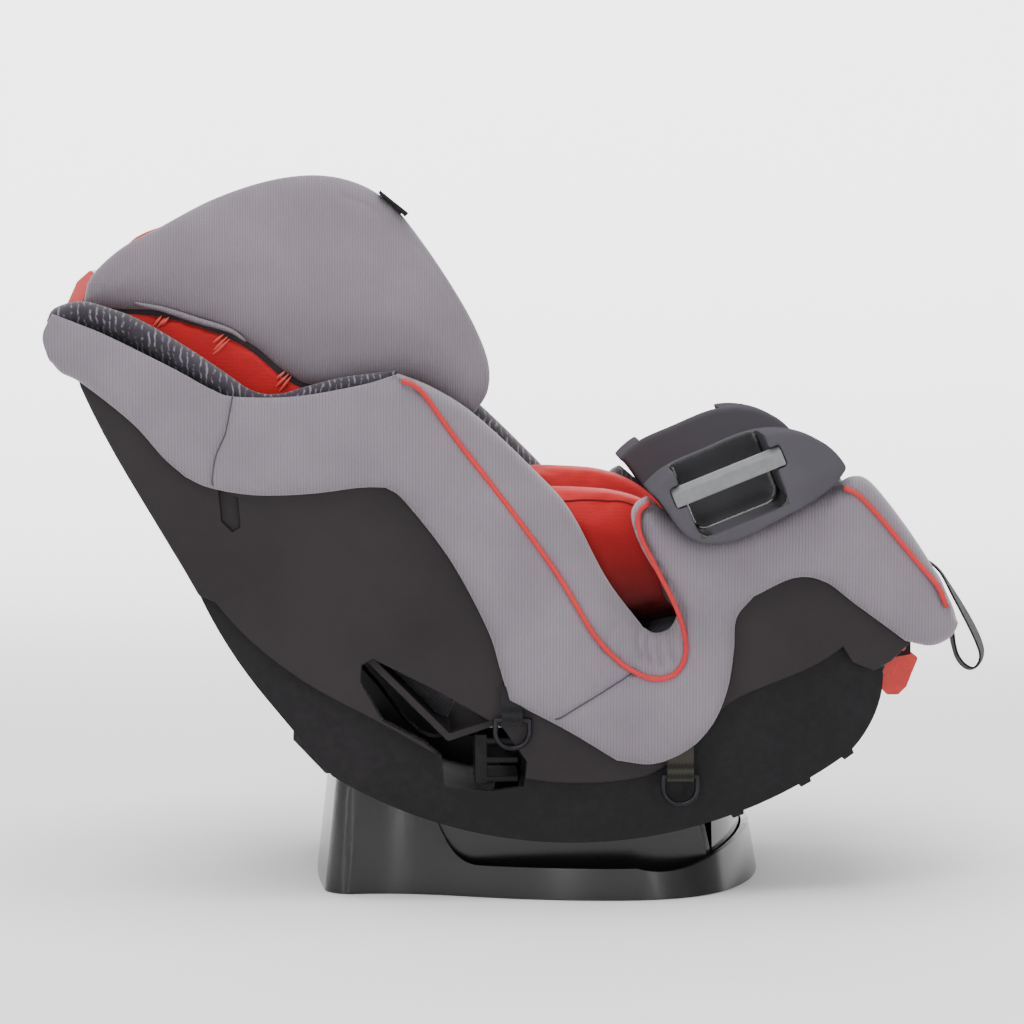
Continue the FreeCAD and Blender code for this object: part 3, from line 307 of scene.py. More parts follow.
def skin(name, rings):
    """A closed mesh over a row of rings that have the same number of points."""
    count = len(rings[0])
    faces = []
    for r in range(len(rings) - 1):
        for k in range(count):
            n = (k + 1) % count
            faces.append((r * count + k, r * count + n, (r + 1) * count + n, (r + 1) * count + k))
    faces.append(tuple(reversed(range(count))))
    faces.append(tuple((len(rings) - 1) * count + k for k in range(count)))
    return new_object(name, [v for ring in rings for v in ring], faces)


def tube(name, points, radius, sides=10):
    """A round tube along points, carried without twisting."""
    path = [Vector(point) for point in points]
    side = None
    rings = []
    for index, point in enumerate(path):
        heading = heading_at(path, index)
        if side is None:
            side = heading.orthogonal().normalized()
        side = (side - heading * side.dot(heading)).normalized()
        up = heading.cross(side)
        size = radius(index / (len(path) - 1)) if callable(radius) else radius
        rings.append([point + size * (cos(a) * side + sin(a) * up)
                      for a in (2 * pi * k / sides for k in range(sides))])
    return skin(name, rings)


def joined(name, objects):
    """Several mesh objects as one."""
    work = bmesh.new()
    for obj in objects:
        work.from_mesh(obj.data)
        bpy.data.objects.remove(obj)
    mesh = bpy.data.meshes.new(name)
    work.to_mesh(mesh)
    work.free()
    mesh.shade_smooth()
    return linked(name, mesh)


# ---- materials

def fill_in(tree, node, inputs):
    """Set or link a node's inputs; each value is a plain one or another node's output."""
    for key, value in inputs.items():
        if isinstance(value, bpy.types.NodeSocket):
            tree.links.new(value, node.inputs[key])
        else:
            node.inputs[key].default_value = value


def add(tree, kind, inputs=None, **settings):
    """A shader node with its settings and inputs."""
    made = tree.nodes.new("ShaderNode" + kind)
    for key, value in settings.items():
        setattr(made, key, value)
    fill_in(tree, made, inputs or {})
    return made


def blank(name, roughness, tilt=0.0, **sockets):
    """A material with its node tree, its shader and its coordinates."""
    made = bpy.data.materials.new(name)
    made.use_nodes = True
    tree = made.node_tree
    shader = tree.nodes["Principled BSDF"]
    shader.inputs["Roughness"].default_value = roughness
    for key, value in sockets.items():
        shader.inputs[key.replace("_", " ")].default_value = value
    return made, tree, shader, object_points(tree, tilt)


def rgb(code):
    """Linear colour of a six-digit code."""
    values = [int(code[i:i + 2], 16) / 255 for i in (0, 2, 4)]
    return tuple(v / 12.92 if v <= 0.04045 else ((v + 0.055) / 1.055) ** 2.4 for v in values) + (1,)


def object_points(tree, tilt=0.0):
    """Coordinates in the object's own frame, turned about the seat's width."""
    place = add(tree, "TexCoord")
    turn = (0, radians(tilt), 0)
    turned = add(tree, "Mapping", {"Rotation": turn, "Vector": place.outputs["Object"]})
    return turned.outputs["Vector"]


def stripes(tree, vector, pitch, direction="X", distortion=0.0, detail_scale=1.0):
    """Sine bands a given distance apart, in metres."""
    made = add(tree, "TexWave", {"Vector": vector, "Scale": 0.05 * 2 * pi / pitch, "Detail": 1.0,
                                 "Distortion": distortion, "Detail Scale": detail_scale},
               wave_type="BANDS", bands_direction=direction)
    return made.outputs["Fac"]


def speckle(tree, vector, scale, detail=3.0):
    """Noise of a given scale."""
    made = add(tree, "TexNoise", {"Scale": scale, "Detail": detail, "Vector": vector})
    return made.outputs["Fac"]


def ramp(tree, factor, stops):
    """Colours blended along a factor; stops are (position, colour or grey level)."""
    made = add(tree, "ValToRGB", {"Fac": factor})
    ends = made.color_ramp.elements
    while len(ends) < len(stops):
        ends.new(0.5)
    for element, (position, colour) in zip(ends, stops):
        element.position = position
        element.color = colour if isinstance(colour, tuple) else (colour, colour, colour, 1)
    return made.outputs["Color"]


def mottled(tree, vector, scale, dark, light, detail=3.0):
    """Two colours in soft patches."""
    return ramp(tree, speckle(tree, vector, scale, detail), [(0.3, dark), (0.7, light)])


def mix(tree, kind, first, second, factor=1.0):
    """Two colours combined; each may be a colour or a socket."""
    made = add(tree, "Mix", data_type="RGBA", blend_type=kind)
    fill_in(tree, made, {0: factor, 6: first, 7: second})
    return made.outputs[2]


def maths(tree, kind, first, second):
    """Arithmetic on two values."""
    return add(tree, "Math", {0: first, 1: second}, operation=kind).outputs[0]


def split(tree, vector):
    """A vector's three parts."""
    return add(tree, "SeparateXYZ", {"Vector": vector}).outputs


def spread(tree, value, low, high, start=0.0, end=1.0):
    """A value's place between two limits, as a number from start to end."""
    return add(tree, "MapRange", {"Value": value, "From Min": low, "From Max": high,
                                  "To Min": start, "To Max": end}).outputs["Result"]


def surfaced(tree, shader, colour, height, depth, strength):
    """Feed a colour and a relief into the shader."""
    relief = add(tree, "Bump", {"Strength": strength, "Distance": depth, "Height": height})
    fill_in(tree, shader, {"Base Color": colour, "Normal": relief.outputs["Normal"]})


def knit(name, light, dark, rib=0.0026, tilt=0.0, sheen=0.25):
    """Ribbed knit: fine raised ribs, cross stitches and slow changes of shade."""
    made, tree, shader, place = blank(name, 0.86, tilt, Sheen_Weight=sheen, Sheen_Roughness=0.5,
                                      Specular_IOR_Level=0.2)
    ribs = stripes(tree, place, rib, "X", 0.35, 2.0)
    stitches = stripes(tree, place, 0.55 * rib, "Z", 0.6, 3.0)
    fuzz = speckle(tree, place, 900.0)
    shade = mottled(tree, place, 14.0, rgb(dark), rgb(light))
    lines = ramp(tree, ribs, [(0.0, 0.8), (0.6, 1.0)])
    colour = mix(tree, "MULTIPLY", shade, lines)
    grain = ramp(tree, fuzz, [(0.3, 0.9), (0.7, 1.0)])
    height = maths(tree, "ADD", ribs, maths(tree, "MULTIPLY", stitches, 0.35))
    height = maths(tree, "ADD", height, maths(tree, "MULTIPLY", fuzz, 0.5))
    surfaced(tree, shader, mix(tree, "MULTIPLY", colour, grain), height, 0.00035, 0.6)
    return made


def dashed(name, base, mark):
    """Charcoal knit with a pattern of wavy, broken, upright dashes."""
    made, tree, shader, place = blank(name, 0.85, Sheen_Weight=0.2, Specular_IOR_Level=0.2)
    wavy = stripes(tree, place, 0.0052, "X", 3.2, 1.6)
    stretched = add(tree, "Mapping", {"Scale": (1, 1, 0.22), "Vector": place})
    breaks = speckle(tree, stretched.outputs["Vector"], 210.0, 2.0)
    thin = ramp(tree, wavy, [(0.72, 0.0), (0.9, 1.0)])
    on = ramp(tree, breaks, [(0.42, 0.0), (0.56, 1.0)])
    marks = mix(tree, "MULTIPLY", thin, on)
    paler = tuple(1.35 * v for v in rgb(base))
    shade = ramp(tree, speckle(tree, place, 25.0), [(0.3, rgb(base)), (0.75, paler)])
    ribs = stripes(tree, place, 0.0017, "X", 0.2, 1.0)
    height = maths(tree, "ADD", maths(tree, "MULTIPLY", ribs, 0.6), maths(tree, "MULTIPLY", marks, 0.8))
    surfaced(tree, shader, mix(tree, "MIX", shade, rgb(mark), marks), height, 0.0004, 0.6)
    return made


def woven(name, light, dark, thread=0.0011, sheen=0.3, painted_shade_heights=None):
    """Plain weave with crossing threads and slow changes of shade; painted_shade_heights paints shade that
    darkens it towards the lower of two heights.
    """
    made, tree, shader, place = blank(name, 0.7, Sheen_Weight=sheen, Sheen_Roughness=0.4,
                                      Specular_IOR_Level=0.3)
    warp = stripes(tree, place, thread, "X", 0.3, 2.0)
    weft = stripes(tree, place, thread, "Z", 0.3, 2.0)
    fill = stripes(tree, place, thread, "Y", 0.3, 2.0)
    weave = maths(tree, "MAXIMUM", maths(tree, "MULTIPLY", warp, weft), maths(tree, "MULTIPLY", fill, weft))
    shade = ramp(tree, speckle(tree, place, 18.0), [(0.25, rgb(dark)), (0.75, rgb(light))])
    threads = ramp(tree, weave, [(0.0, 0.82), (0.7, 1.0)])
    colour = mix(tree, "MULTIPLY", shade, threads)
    # Painted shade: below the upper height the colour darkens, to near black at the lower one.
    if painted_shade_heights:
        depth = spread(tree, split(tree, place)["Z"], *painted_shade_heights)
        shadow = ramp(tree, depth, [(0.0, (0.10, 0.06, 0.08, 1)), (1.0, 1.0)])
        colour = mix(tree, "MULTIPLY", colour, shadow)
    height = maths(tree, "ADD", weave, speckle(tree, place, 300.0))
    surfaced(tree, shader, colour, height, 0.0003, 0.5)
    return made


def plastic(name, light, dark, roughness, grain=0.00012, specular=0.5):
    """Moulded plastic: fine grain, uneven gloss, and edges rubbed lighter."""
    made, tree, shader, place = blank(name, roughness, Specular_IOR_Level=specular)
    shade = mottled(tree, place, 9.0, rgb(dark), rgb(light), 4.0)
    edges = add(tree, "NewGeometry")
    rubbed = ramp(tree, edges.outputs["Pointiness"], [(0.52, 0.0), (0.62, 0.2)])
    flecks = ramp(tree, speckle(tree, place, 160.0), [(0.4, 0.0), (0.65, 1.0)])
    scuffs = mix(tree, "MULTIPLY", rubbed, flecks)
    paler = tuple(min(1.0, 2.2 * v + 0.03) for v in rgb(light)[:3]) + (1,)
    gloss = spread(tree, speckle(tree, place, 30.0), 0.0, 1.0, roughness - 0.06, roughness + 0.09)
    tree.links.new(gloss, shader.inputs["Roughness"])
    colour = mix(tree, "MIX", shade, paler, scuffs)
    surfaced(tree, shader, colour, speckle(tree, place, 1400.0, 2.0), grain, 0.7)
    return made


def matt_beyond(made, edge):
    """Dull a glossy plastic behind a place along the seat."""
    tree = made.node_tree
    shader = tree.nodes["Principled BSDF"]
    along = split(tree, object_points(tree))["X"]
    for socket, dull in (("Roughness", 0.8), ("Specular IOR Level", 0.0)):
        glossy = shader.inputs[socket].default_value
        step = spread(tree, along, edge - 0.0006, edge + 0.0006, dull, glossy)
        tree.links.new(step, shader.inputs[socket])


def armrest_plastic(name, face, well):
    """Matt moulded plastic that turns dark and glossy inside the cup well."""
    made, tree, shader, place = blank(name, 0.6, Specular_IOR_Level=0.02)
    along, sideways, up = split(tree, object_points(tree, ARM_DEG))
    across = maths(tree, "ABSOLUTE", sideways, 0.0)
    tilt = radians(ARM_DEG)
    middle = ARM_MIDDLE[0] * cos(tilt) + ARM_MIDDLE[1] * sin(tilt)
    height = ARM_MIDDLE[1] * cos(tilt) - ARM_MIDDLE[0] * sin(tilt)
    limits = [(along, middle - 0.0505, 1), (along, middle + 0.0265, -1), (up, height - 0.0236, 1),
              (across, ARM_NEAR_Y + 0.0118, 1), (across, ARM_FAR_Y - 0.0012, -1)]
    inside_well = 1.0
    for value, edge, way in limits:
        step = spread(tree, value, edge - 0.0004 * way, edge + 0.0004 * way)
        inside_well = maths(tree, "MULTIPLY", step, inside_well)
    shade = mottled(tree, place, 9.0, tuple(0.88 * v for v in rgb(face)), rgb(face))
    for socket, outer, inner in (("Roughness", 0.6, 0.14), ("Specular IOR Level", 0.0, 0.5)):
        gloss = spread(tree, inside_well, 0.0, 1.0, outer, inner)
        tree.links.new(gloss, shader.inputs[socket])
    colour = mix(tree, "MIX", shade, rgb(well), inside_well)
    surfaced(tree, shader, colour, speckle(tree, place, 1400.0, 2.0), 0.0001, 0.7)
    return made


def metal(name, colour, roughness):
    """Plated steel with fine scratches."""
    made, tree, shader, place = blank(name, roughness, Metallic=1.0)
    shade = mottled(tree, place, 60.0, rgb(colour), tuple(0.8 * v for v in rgb(colour)))
    surfaced(tree, shader, shade, stripes(tree, place, 0.0006, "DIAGONAL", 5.0, 4.0), 0.00005, 0.5)
    return made


def webbing_finish(name, light, dark):
    """Woven strap: herringbone ribs along the strap and fine cross threads."""
    made, tree, shader, place = blank(name, 0.6, Sheen_Weight=0.06, Specular_IOR_Level=0.15)
    cords = stripes(tree, place, 0.0021, "Y", 0.15, 2.0)
    threads = stripes(tree, place, 0.0009, "X", 0.2, 2.0)
    twill = maths(tree, "ADD", cords, maths(tree, "MULTIPLY", threads, 0.6))
    shade = ramp(tree, maths(tree, "MULTIPLY", twill, 0.6), [(0.15, rgb(dark)), (0.8, rgb(light))])
    surfaced(tree, shader, shade, twill, 0.0004, 0.7)
    return made


GREY = knit("grey knit", "7c747d", "716972")
GREY_HEAD = knit("grey headrest knit", "7c747c", "716971", rib=0.0021)
PATTERN = dashed("dashed charcoal knit", "29262c", "6a6572")
RED = woven("red fabric", "b8060f", "9c050c", sheen=0.06)
# Paler red for the gathered ridges: a painted highlight on their folds.
RED_PAINTED_HIGHLIGHT = woven("red gathers", "dc5248", "cc443a", thread=0.0008, sheen=0.3)
RED_CORD = woven("red piping", "c8282e", "b62026", thread=0.0009, sheen=0.1)
DARK_PAD = knit("charcoal pad knit", "4b494e", "3b393e", rib=0.003, tilt=-45.0)
SHELL_PLASTIC = plastic("shell plastic", "262224", "1f1b1d", 0.5, specular=0.16)
BAND_PLASTIC = plastic("band plastic", "161416", "0f0e10", 0.45, specular=0.14)
BASE_PLASTIC = plastic("base plastic", "141416", "0e0e10", 0.18, grain=0.00003, specular=0.45)
matt_beyond(BASE_PLASTIC, BASE_END_X)
ARM_PLASTIC = armrest_plastic("armrest plastic", "4b494e", "121213")
# Lighter grey for inner plates and faces: painted light inside the dark belt windows.
INNER_PLASTIC_PAINTED_LIGHT = plastic("inner plastic", "5c5a5e", "4e4c50", 0.6, specular=0.1)
BAR_PLASTIC = plastic("bar plastic", "6c6d6f", "636466", 0.5, specular=0.25)
RED_PLASTIC = plastic("red plastic", "d01812", "bd120d", 0.28, grain=0.00004)
BLACK_RUBBER = plastic("rubber", "1a1a1a", "131313", 0.8, grain=0.0002)
STEEL = metal("plated steel", "b9bbc0", 0.3)
# The insert bolsters' red, with painted shade darkening it towards the bottom.
RED_PAINTED_SHADE = woven("red fabric with painted shade below", "c40a10", "a8080e", sheen=0.02, painted_shade_heights=(0.24, 0.33))
GREY_SEAM = woven("dark grey seam", "4a464b", "3c383d", thread=0.0008, sheen=0.05)
RED_SEAM = woven("dark red seam", "7c0a10", "5c060a", thread=0.0008, sheen=0.05)
BLACK_STEEL = metal("blackened steel", "2c2c2f", 0.35)
BLACK_WEB = webbing_finish("black webbing", "1c1c1f", "0a0a0c")
TAB_WEB = webbing_finish("ring tab webbing", "33312a", "0c0b0a")


def finish_as(obj, material):
    """Give an object one material."""
    obj.data.materials.clear()
    obj.data.materials.append(material)
    return obj


def placed(obj, material, body, slot, *nodes):
    """Give a piece its material and the body it rides on, and hide the CAD nodes it stands for; slot is not
    used.
    """
    finish_as(obj, material)
    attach(obj, body)
    if nodes:
        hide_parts(*nodes)


def soft_piece(obj, material, body, slot, node):
    """Place a padded piece that stands for one CAD node."""
    placed(obj, material, body, slot, node)


def soft_pair(right, material, body, node):
    """Place a grey padded piece on the child's right, and its mirror image on the left."""
    left = mirrored(right, right.name.replace("right", "left"))
    for piece, side in ((right, "right"), (left, "left")):
        soft_piece(piece, material, body, "grey_fabric", node + "_" + side)


# ---- camera and light

def make_camera():
    """Long lens from the child's right, a little behind and above."""
    aim = Vector((0.012, 0.0, 0.308))
    yaw = radians(1.75)
    lift = radians(4.5)
    forward = Vector((sin(yaw) * cos(lift), cos(yaw) * cos(lift), -sin(lift)))
    data = bpy.data.cameras.new("camera")
    data.sensor_width = 36.0
    data.lens = 133.4
    camera = linked("camera", data)
    camera.location = aim - 3.3 * forward
    camera.rotation_mode = "QUATERNION"
    camera.rotation_quaternion = forward.to_track_quat("-Z", "Y")
    bpy.context.scene.camera = camera


def lamp(name, place, aim, width, height, power):
    """A rectangular soft light."""
    data = bpy.data.lights.new(name, "AREA")
    data.shape = "RECTANGLE"
    data.size = width
    data.size_y = height
    data.energy = power
    made = linked(name, data)
    made.location = place
    made.rotation_mode = "QUATERNION"
    made.rotation_quaternion = (Vector(aim) - Vector(place)).to_track_quat("-Z", "Y")


def make_stage():
    """Pale floor that curves up into a lit wall behind the seat, plain surroundings and soft lights."""
    profile = [(-9.0, 0.0), (2.2, 0.0)]
    for step in range(1, 25):
        angle = radians(90.0 * step / 24)
        profile.append((2.2 + 3.0 * sin(angle), 3.0 - 3.0 * cos(angle)))
    profile.append((5.2, 7.0))
    corners = [(x, y, z) for y, z in profile for x in (-9.0, 9.0)]
    faces = [(2 * i, 2 * i + 1, 2 * i + 3, 2 * i + 2) for i in range(len(profile) - 1)]
    floor = new_object("floor", corners, faces)
    floor.location.z = -0.0006
    made, tree, shader, place = blank("pale floor", 0.9, Specular_IOR_Level=0.1,
                                      Emission_Color=(1, 1, 1, 1))
    glow = spread(tree, split(tree, place)["Y"], 0.6, 4.6, 0.0, WALL_GLOW)
    glow.node.interpolation_type = "SMOOTHSTEP"
    shade = mottled(tree, place, 2.0, 0.90, 0.92)
    fill_in(tree, shader, {"Base Color": shade, "Emission Strength": glow})
    finish_as(floor, made)
    world = bpy.data.worlds.new("surroundings")
    world.use_nodes = True
    backdrop = world.node_tree.nodes["Background"]
    fill_in(world.node_tree, backdrop, {"Color": (1, 1, 1, 1), "Strength": 0.42})
    bpy.context.scene.world = world
    lamp("key", (-1.2, -2.2, 2.8), (0, 0, 0.3), 1.6, 1.2, 52)
    lamp("fill", (2.2, -2.0, 1.2), (0, 0, 0.3), 1.2, 1.6, 18)
    lamp("top", (0, 0.0, 3.0), (0, 0, 0.2), 2.4, 1.8, 62)
    lamp("floor light", (0, -1.2, 3.2), (0, -0.6, 0), 3.0, 1.6, 40)
    for x, y in ((-2.1, -2.2), (-0.62, -2.9), (1.5, -2.6)):
        lamp("strip light", (x, y, 0.55), (0, 0, 0.1), 0.2, 0.9, 13)


make_camera()
make_stage()


# ---- hanging pull strap

PULL_POINTS = [(372, 266), (384, 260), (396, 239), (409, 217), (420, 196), (425, 180), (416, 167),
               (403, 176), (397, 195), (396, 213)]
PULL_WIDTH = 0.025
PULL_THICK = 0.0016
PULL_TWIST_DEG = 17.0


def pull_strap():
    """The adjuster's strap: a flat band that follows one smooth NURBS line."""
    data = bpy.data.curves.new("pull strap line", "CURVE")
    data.dimensions = "3D"
    spline = data.splines.new("NURBS")
    spline.points.add(len(PULL_POINTS) - 1)
    for point, (x, z) in zip(spline.points, PULL_POINTS):
        point.co = (MM * x, 0.0, MM * z, 1.0)
    spline.order_u = 3
    spline.use_endpoint_u = True
    spline.resolution_u = 12
    guide = bpy.data.objects.new("pull strap line", data)
    mesh = bpy.data.meshes.new_from_object(guide)
    path = [v.co.copy() for v in mesh.vertices]
    bpy.data.objects.remove(guide)
    bpy.data.meshes.remove(mesh)
    section = flat_section(PULL_WIDTH, PULL_THICK)
    sides = []
    for index, point in enumerate(path):
        heading = heading_at(path, index)
        share = index / (len(path) - 1)
        twist = radians(PULL_TWIST_DEG) * sin(pi * min(1.0, 1.15 * share))
        sides.append(Vector((0, cos(twist), 0)) + Vector((-heading.z, 0, heading.x)) * sin(twist))
    strap = swept_band("pull_strap", path, sides, section)
    placed(strap, BLACK_WEB, "seat", "webbing", "adjuster_strap")


def flat_section(width, thick, ribs=7):
    """Cross-section of webbing: (across, out) with rounded borders and slight ribs."""
    half = 0.5 * width
    upper = []
    for i in range(4 * ribs + 1):
        across = half - 0.0006 - (width - 0.0012) * i / (4 * ribs)
        lift = 0.5 * thick + 0.00012 * cos(2 * pi * ribs * i / (4 * ribs))
        upper.append((across, lift))
    left = [(-half, 0.25 * thick), (-half, -0.25 * thick)]
    lower = [(-across, -lift) for across, lift in upper]
    right = [(half, -0.25 * thick), (half, 0.25 * thick)]
    return upper + left + lower + right


def swept_band(name, path, sides, section):
    """A closed band: the section carried along a path, its width along each side direction."""
    rings = []
    for index, point in enumerate(path):
        heading = heading_at(path, index)
        side = (sides[index] - heading * sides[index].dot(heading)).normalized()
        out = heading.cross(side)
        rings.append([point + across * side + lift * out for across, lift in section])
    band = skin(name, rings)
    with editing(band.data) as work:
        bmesh.ops.recalc_face_normals(work, faces=work.faces)
    band.data.shade_smooth()
    return band


pull_strap()


# ---- webbing

def belt(points, width, side=(0, 1, 0), thick=0.0014):
    """Webbing that follows points given in mm; side is the direction of its width."""
    path = [MM * Vector(point) for point in smooth(points, 4.0)]
    return swept_band("belt", path, [Vector(side)] * len(path), flat_section(width, thick))


def finish_belts(name, belts, node, material=BLACK_WEB):
    """Join belts into the piece that stands for one CAD node."""
    placed(joined(name, belts), material, "seat", "webbing", node)


def side_point(point, y):
    """A side-view point, in mm, placed at a width."""
    return (point[0], y, point[1])


def harness():
    """Shoulder, hip and crotch straps of the five-point harness."""
    over = [(290, 58), (290, 82), (288.5, 97), (280, 103.4), (262, 104.2), (210, 104), (170, 104),
            (150, 105)]
    buckled = [on_pan(60, 62), on_pan(110, 46), on_pan(144, 37.5)]
    along_pan = (cos(radians(PAN_DEG)), 0, sin(radians(PAN_DEG)))
    shoulders = []
    hips = []
    for sign in (-1, 1):
        path = [side_point(on_back(a, b), sign * (56 - 0.075 * max(0, 262 - a))) for a, b in over]
        path += [side_point(point, sign * 45) for point in buckled]
        shoulders.append(belt(path, 0.038))
        hip = [(141, 37.4, 42), (134, 34.5, 56), (124, 30.5, 74), (112, 28.6, 92), (103, 27.4, 106),
               (98, 26.0, 118)]
        hips.append(belt([side_point(on_pan(a, b), sign * y) for a, b, y in hip], 0.030, along_pan))
    finish_belts("shoulder_belts", shoulders, "shoulder_straps")
    finish_belts("hip_belts", hips, "hip_straps")
    crotch = [side_point(on_pan(216, h), 0) for h in (-14, 2, 18, 35)]
    finish_belts("crotch_belt", [belt(crotch, 0.038)], "crotch_strap")


def rear_belts():
    """Webbing behind the shell: two straps to the splitter plate, and one from it to the front."""
    low = [on_back(238, 42.5), on_back(190, 38), (-60, 112), (0, 134), (70, 160), on_pan(300, -18),
           on_pan(360, -14)]
    belts = [belt([side_point(point, 0) for point in low], PULL_WIDTH)]
    for sign in (-1, 1):
        drop = [(297, 55.5), (282, 52.5), (262, 48.6), (240, 48.6)]
        belts.append(belt([side_point(on_back(a, b), sign * 56) for a, b in drop], 0.038))
    finish_belts("rear_belts", belts, "rear_webbing")


def ring_tabs(label, width, material):
    """Webbing tabs folded round the bars of one pair of rings."""
    low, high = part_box("ring_strap_" + label)
    x = 500 * (low.x + high.x)
    top = 1000 * high.z
    z = top - 32
    tabs = []
    for sign in (-1, 1):
        fold = [(201.5, top), (203.2, z + 24), (204.6, z + 12), (203.4, z + 4), (202.6, z), (204, z - 2.8)]
        fold += [(206, z - 3.7), (208.3, z - 2.8), (209.5, z), (208.6, z + 4), (206.6, z + 12),
                 (206.2, z + 28)]
        path = [(x, sign * y, height) for y, height in fold]
        tabs.append(belt(path, width, (1, 0, 0), 0.0012))
    finish_belts("ring_tab_" + label, tabs, "ring_strap_" + label, material)


harness()
rear_belts()
ring_tabs("rear", 0.017, BLACK_WEB)
ring_tabs("front", 0.022, TAB_WEB)


# ---- side covers

LOBE = [(-369, 448), (-374, 468), (-366, 486)]
REAR_TOP = [(-366, 486), (-345, 478), (-321, 468), (-269, 442), (-238, 425), (-219, 419), (-171, 419),
            (-118, 428), (-87, 437)]
WING = [(-87, 437), (-58, 425), (-24, 403), (25, 357), (54, 324), (84, 268), (114, 228)]
DIP = [(114, 228), (124, 223), (136, 227), (143, 240)]
RISE = [(143, 240), (134, 258), (113, 292), (104, 318), (108, 331), (117, 336)]
UNDER_ARM = [(117, 336), (138, 319), (157, 306), (178, 304), (196, 310), (222, 322), (249, 336), (274, 346)]
FRONT = [(274, 346), (286, 352), (301, 347), (328, 314), (352, 278), (368, 247), (373, 232)]
TOE = [(373, 232), (366, 220), (350, 213), (329, 217)]
ARCH = [(329, 217), (288, 247), (262, 266), (237, 269), (204, 254)]
LEG = [(204, 254), (190, 236), (188, 210), (183, 178), (171, 149), (150, 127), (122, 116), (92, 119)]
HEM = [(92, 119), (49, 145), (3, 169)]
REAR_HEM = [(3, 169), (-4, 195), (-15, 229), (-45, 285), (-82, 333), (-97, 344)]
BELLY = [(-97, 344), (-118, 344), (-159, 339), (-203, 338), (-240, 344), (-260, 353)]
NECK = [(-260, 353), (-278, 369), (-303, 397), (-343, 429), (-360, 438), (-369, 448)]
STRIP_TOP = [(-372, 480), (-366, 490), (-345, 496), (-320, 490), (-293, 479), (-256, 457), (-228, 438),
             (-206, 423), (-185, 420), (-159, 427), (-130, 434), (-87, 439)]
PIPING = [(-84, 432), (-68, 423), (-39, 383), (5, 326), (43, 273), (72, 225), (91, 204), (107, 193),
          (122, 188), (137, 191), (146, 203), (147, 220), (140, 245), (122, 281), (110, 306), (109, 324),
          (118, 333)]
FRONT_PIPING = [(276, 344), (288, 338), (307, 318), (323, 299), (339, 280), (353, 264), (361, 246)]
REAR_SEAM = [(-221, 419), (-227, 389), (-235, 370), (-239, 344)]
LOW_SEAM = [(105, 193), (75, 174), (41, 153)]

COVER_LOOP = loop(LOBE, REAR_TOP, WING, DIP, RISE, UNDER_ARM, FRONT, TOE, ARCH, LEG, HEM, REAR_HEM,
                  BELLY, NECK)
CREST_LINE = line(WING, DIP, RISE, UNDER_ARM, FRONT)
REAR_LINE = line(LOBE, REAR_TOP)
HEM_LINE = line(TOE, ARCH, LEG, HEM, REAR_HEM, BELLY, NECK)
PIPING_LINE = line(PIPING)
FRONT_PIPING_LINE = line(FRONT_PIPING)
STRIP_LINE = line(STRIP_TOP)
SEAM_LINES = [line(REAR_SEAM, step=2.0), line(LOW_SEAM, step=2.0)]
PLEAT_RUNS = [[(111, 229), (109, 216), (111, 207)], [(119, 225), (117, 214), (119, 202)],
              [(127, 224), (126, 212), (128, 200)], [(135, 227), (135, 214), (138, 203)]]
WRINKLE_RUNS = [[(92, 232), (84, 222), (81, 212)], [(100, 222), (94, 213), (93, 205)],
                [(150, 246), (158, 238), (160, 228)]]
PLEATS = [line(run, step=2.0) for run in PLEAT_RUNS]
WRINKLES = [line(run, step=2.0) for run in WRINKLE_RUNS]

# Lines pressed into the cover, with the width and the depth of their furrows
FURROWS = ((SEAM_LINES, 0.0022, 0.0034), ([PIPING_LINE, FRONT_PIPING_LINE], 0.004, 0.0014),
           (PLEATS, 0.0019, 0.0042), (WRINKLES, 0.0035, 0.0012))


def groove(points, path, width, depth):
    """Depth of a soft furrow along a line."""
    return depth * np.exp(-(distance(points, path) / width) ** 2)


def cover_faces(points, edge):
    """Outer and inner y of the grey cover over the right side wall."""
    crest = distance(points, CREST_LINE)
    rear = distance(points, REAR_LINE)
    hem = distance(points, HEM_LINE)
    weights = [1 / (gap + 1e-6) ** 2 for gap in (crest, rear, hem)]
    total = sum(weights)
    rim = (weights[0] * CREST_Y + weights[1] * (COVER_Y - 0.003) + weights[2] * (SHELL_Y + 0.002)) / total
    lift = dome(edge, 0.013)
    roll_zone = inside(points, loop(PIPING, RISE[::-1], DIP[::-1], WING[::-1]))
    pipe = distance(points, PIPING_LINE)
    front_zone = inside(points, loop(FRONT_PIPING, FRONT[::-1]))
    front_pipe = distance(points, FRONT_PIPING_LINE)
    for zone, gap in ((roll_zone, pipe), (front_zone, front_pipe)):
        t = edge / np.maximum(edge + gap, 1e-6)
        lift = np.where(zone, np.sqrt(1 - (1 - np.clip(t, 0, 1)) ** 2), lift)
    face = COVER_Y + 0.0012 * waves(points, 0.09, 3.1) * soft(edge / 0.04)
    face += 0.0016 * soft(edge / 0.05)
    for paths, width, depth in FURROWS:
        for path in paths:
            face -= groove(points, path, width, depth)
    outer = rim + (face - rim) * lift
    inner = rim + (SHELL_Y + 0.0012 - rim) * soft(edge / 0.009)
    outer = np.where(edge < 1e-6, rim, np.maximum(outer, inner + 0.0002))
    return -outer, -np.where(edge < 1e-6, rim, inner)


def inner_loop():
    """Outline of the padded inner leg, down to the back plate and the pan."""
    window = [(24, 164), (6, 158), (-16, 167), (-56, 189), (-104, 214), (-120, 217)]
    runs = [STRIP_TOP, WING, DIP, RISE, UNDER_ARM, FRONT, [(373, 232), (369.5, 236)],
            [(369.5, 236), on_pan(419, 0.5)], [on_pan(419, 0.5), window[0]], window,
            [window[-1], on_back(588, 68)], [on_back(588, 68), (-372, 480)]]
    return loop(*runs)


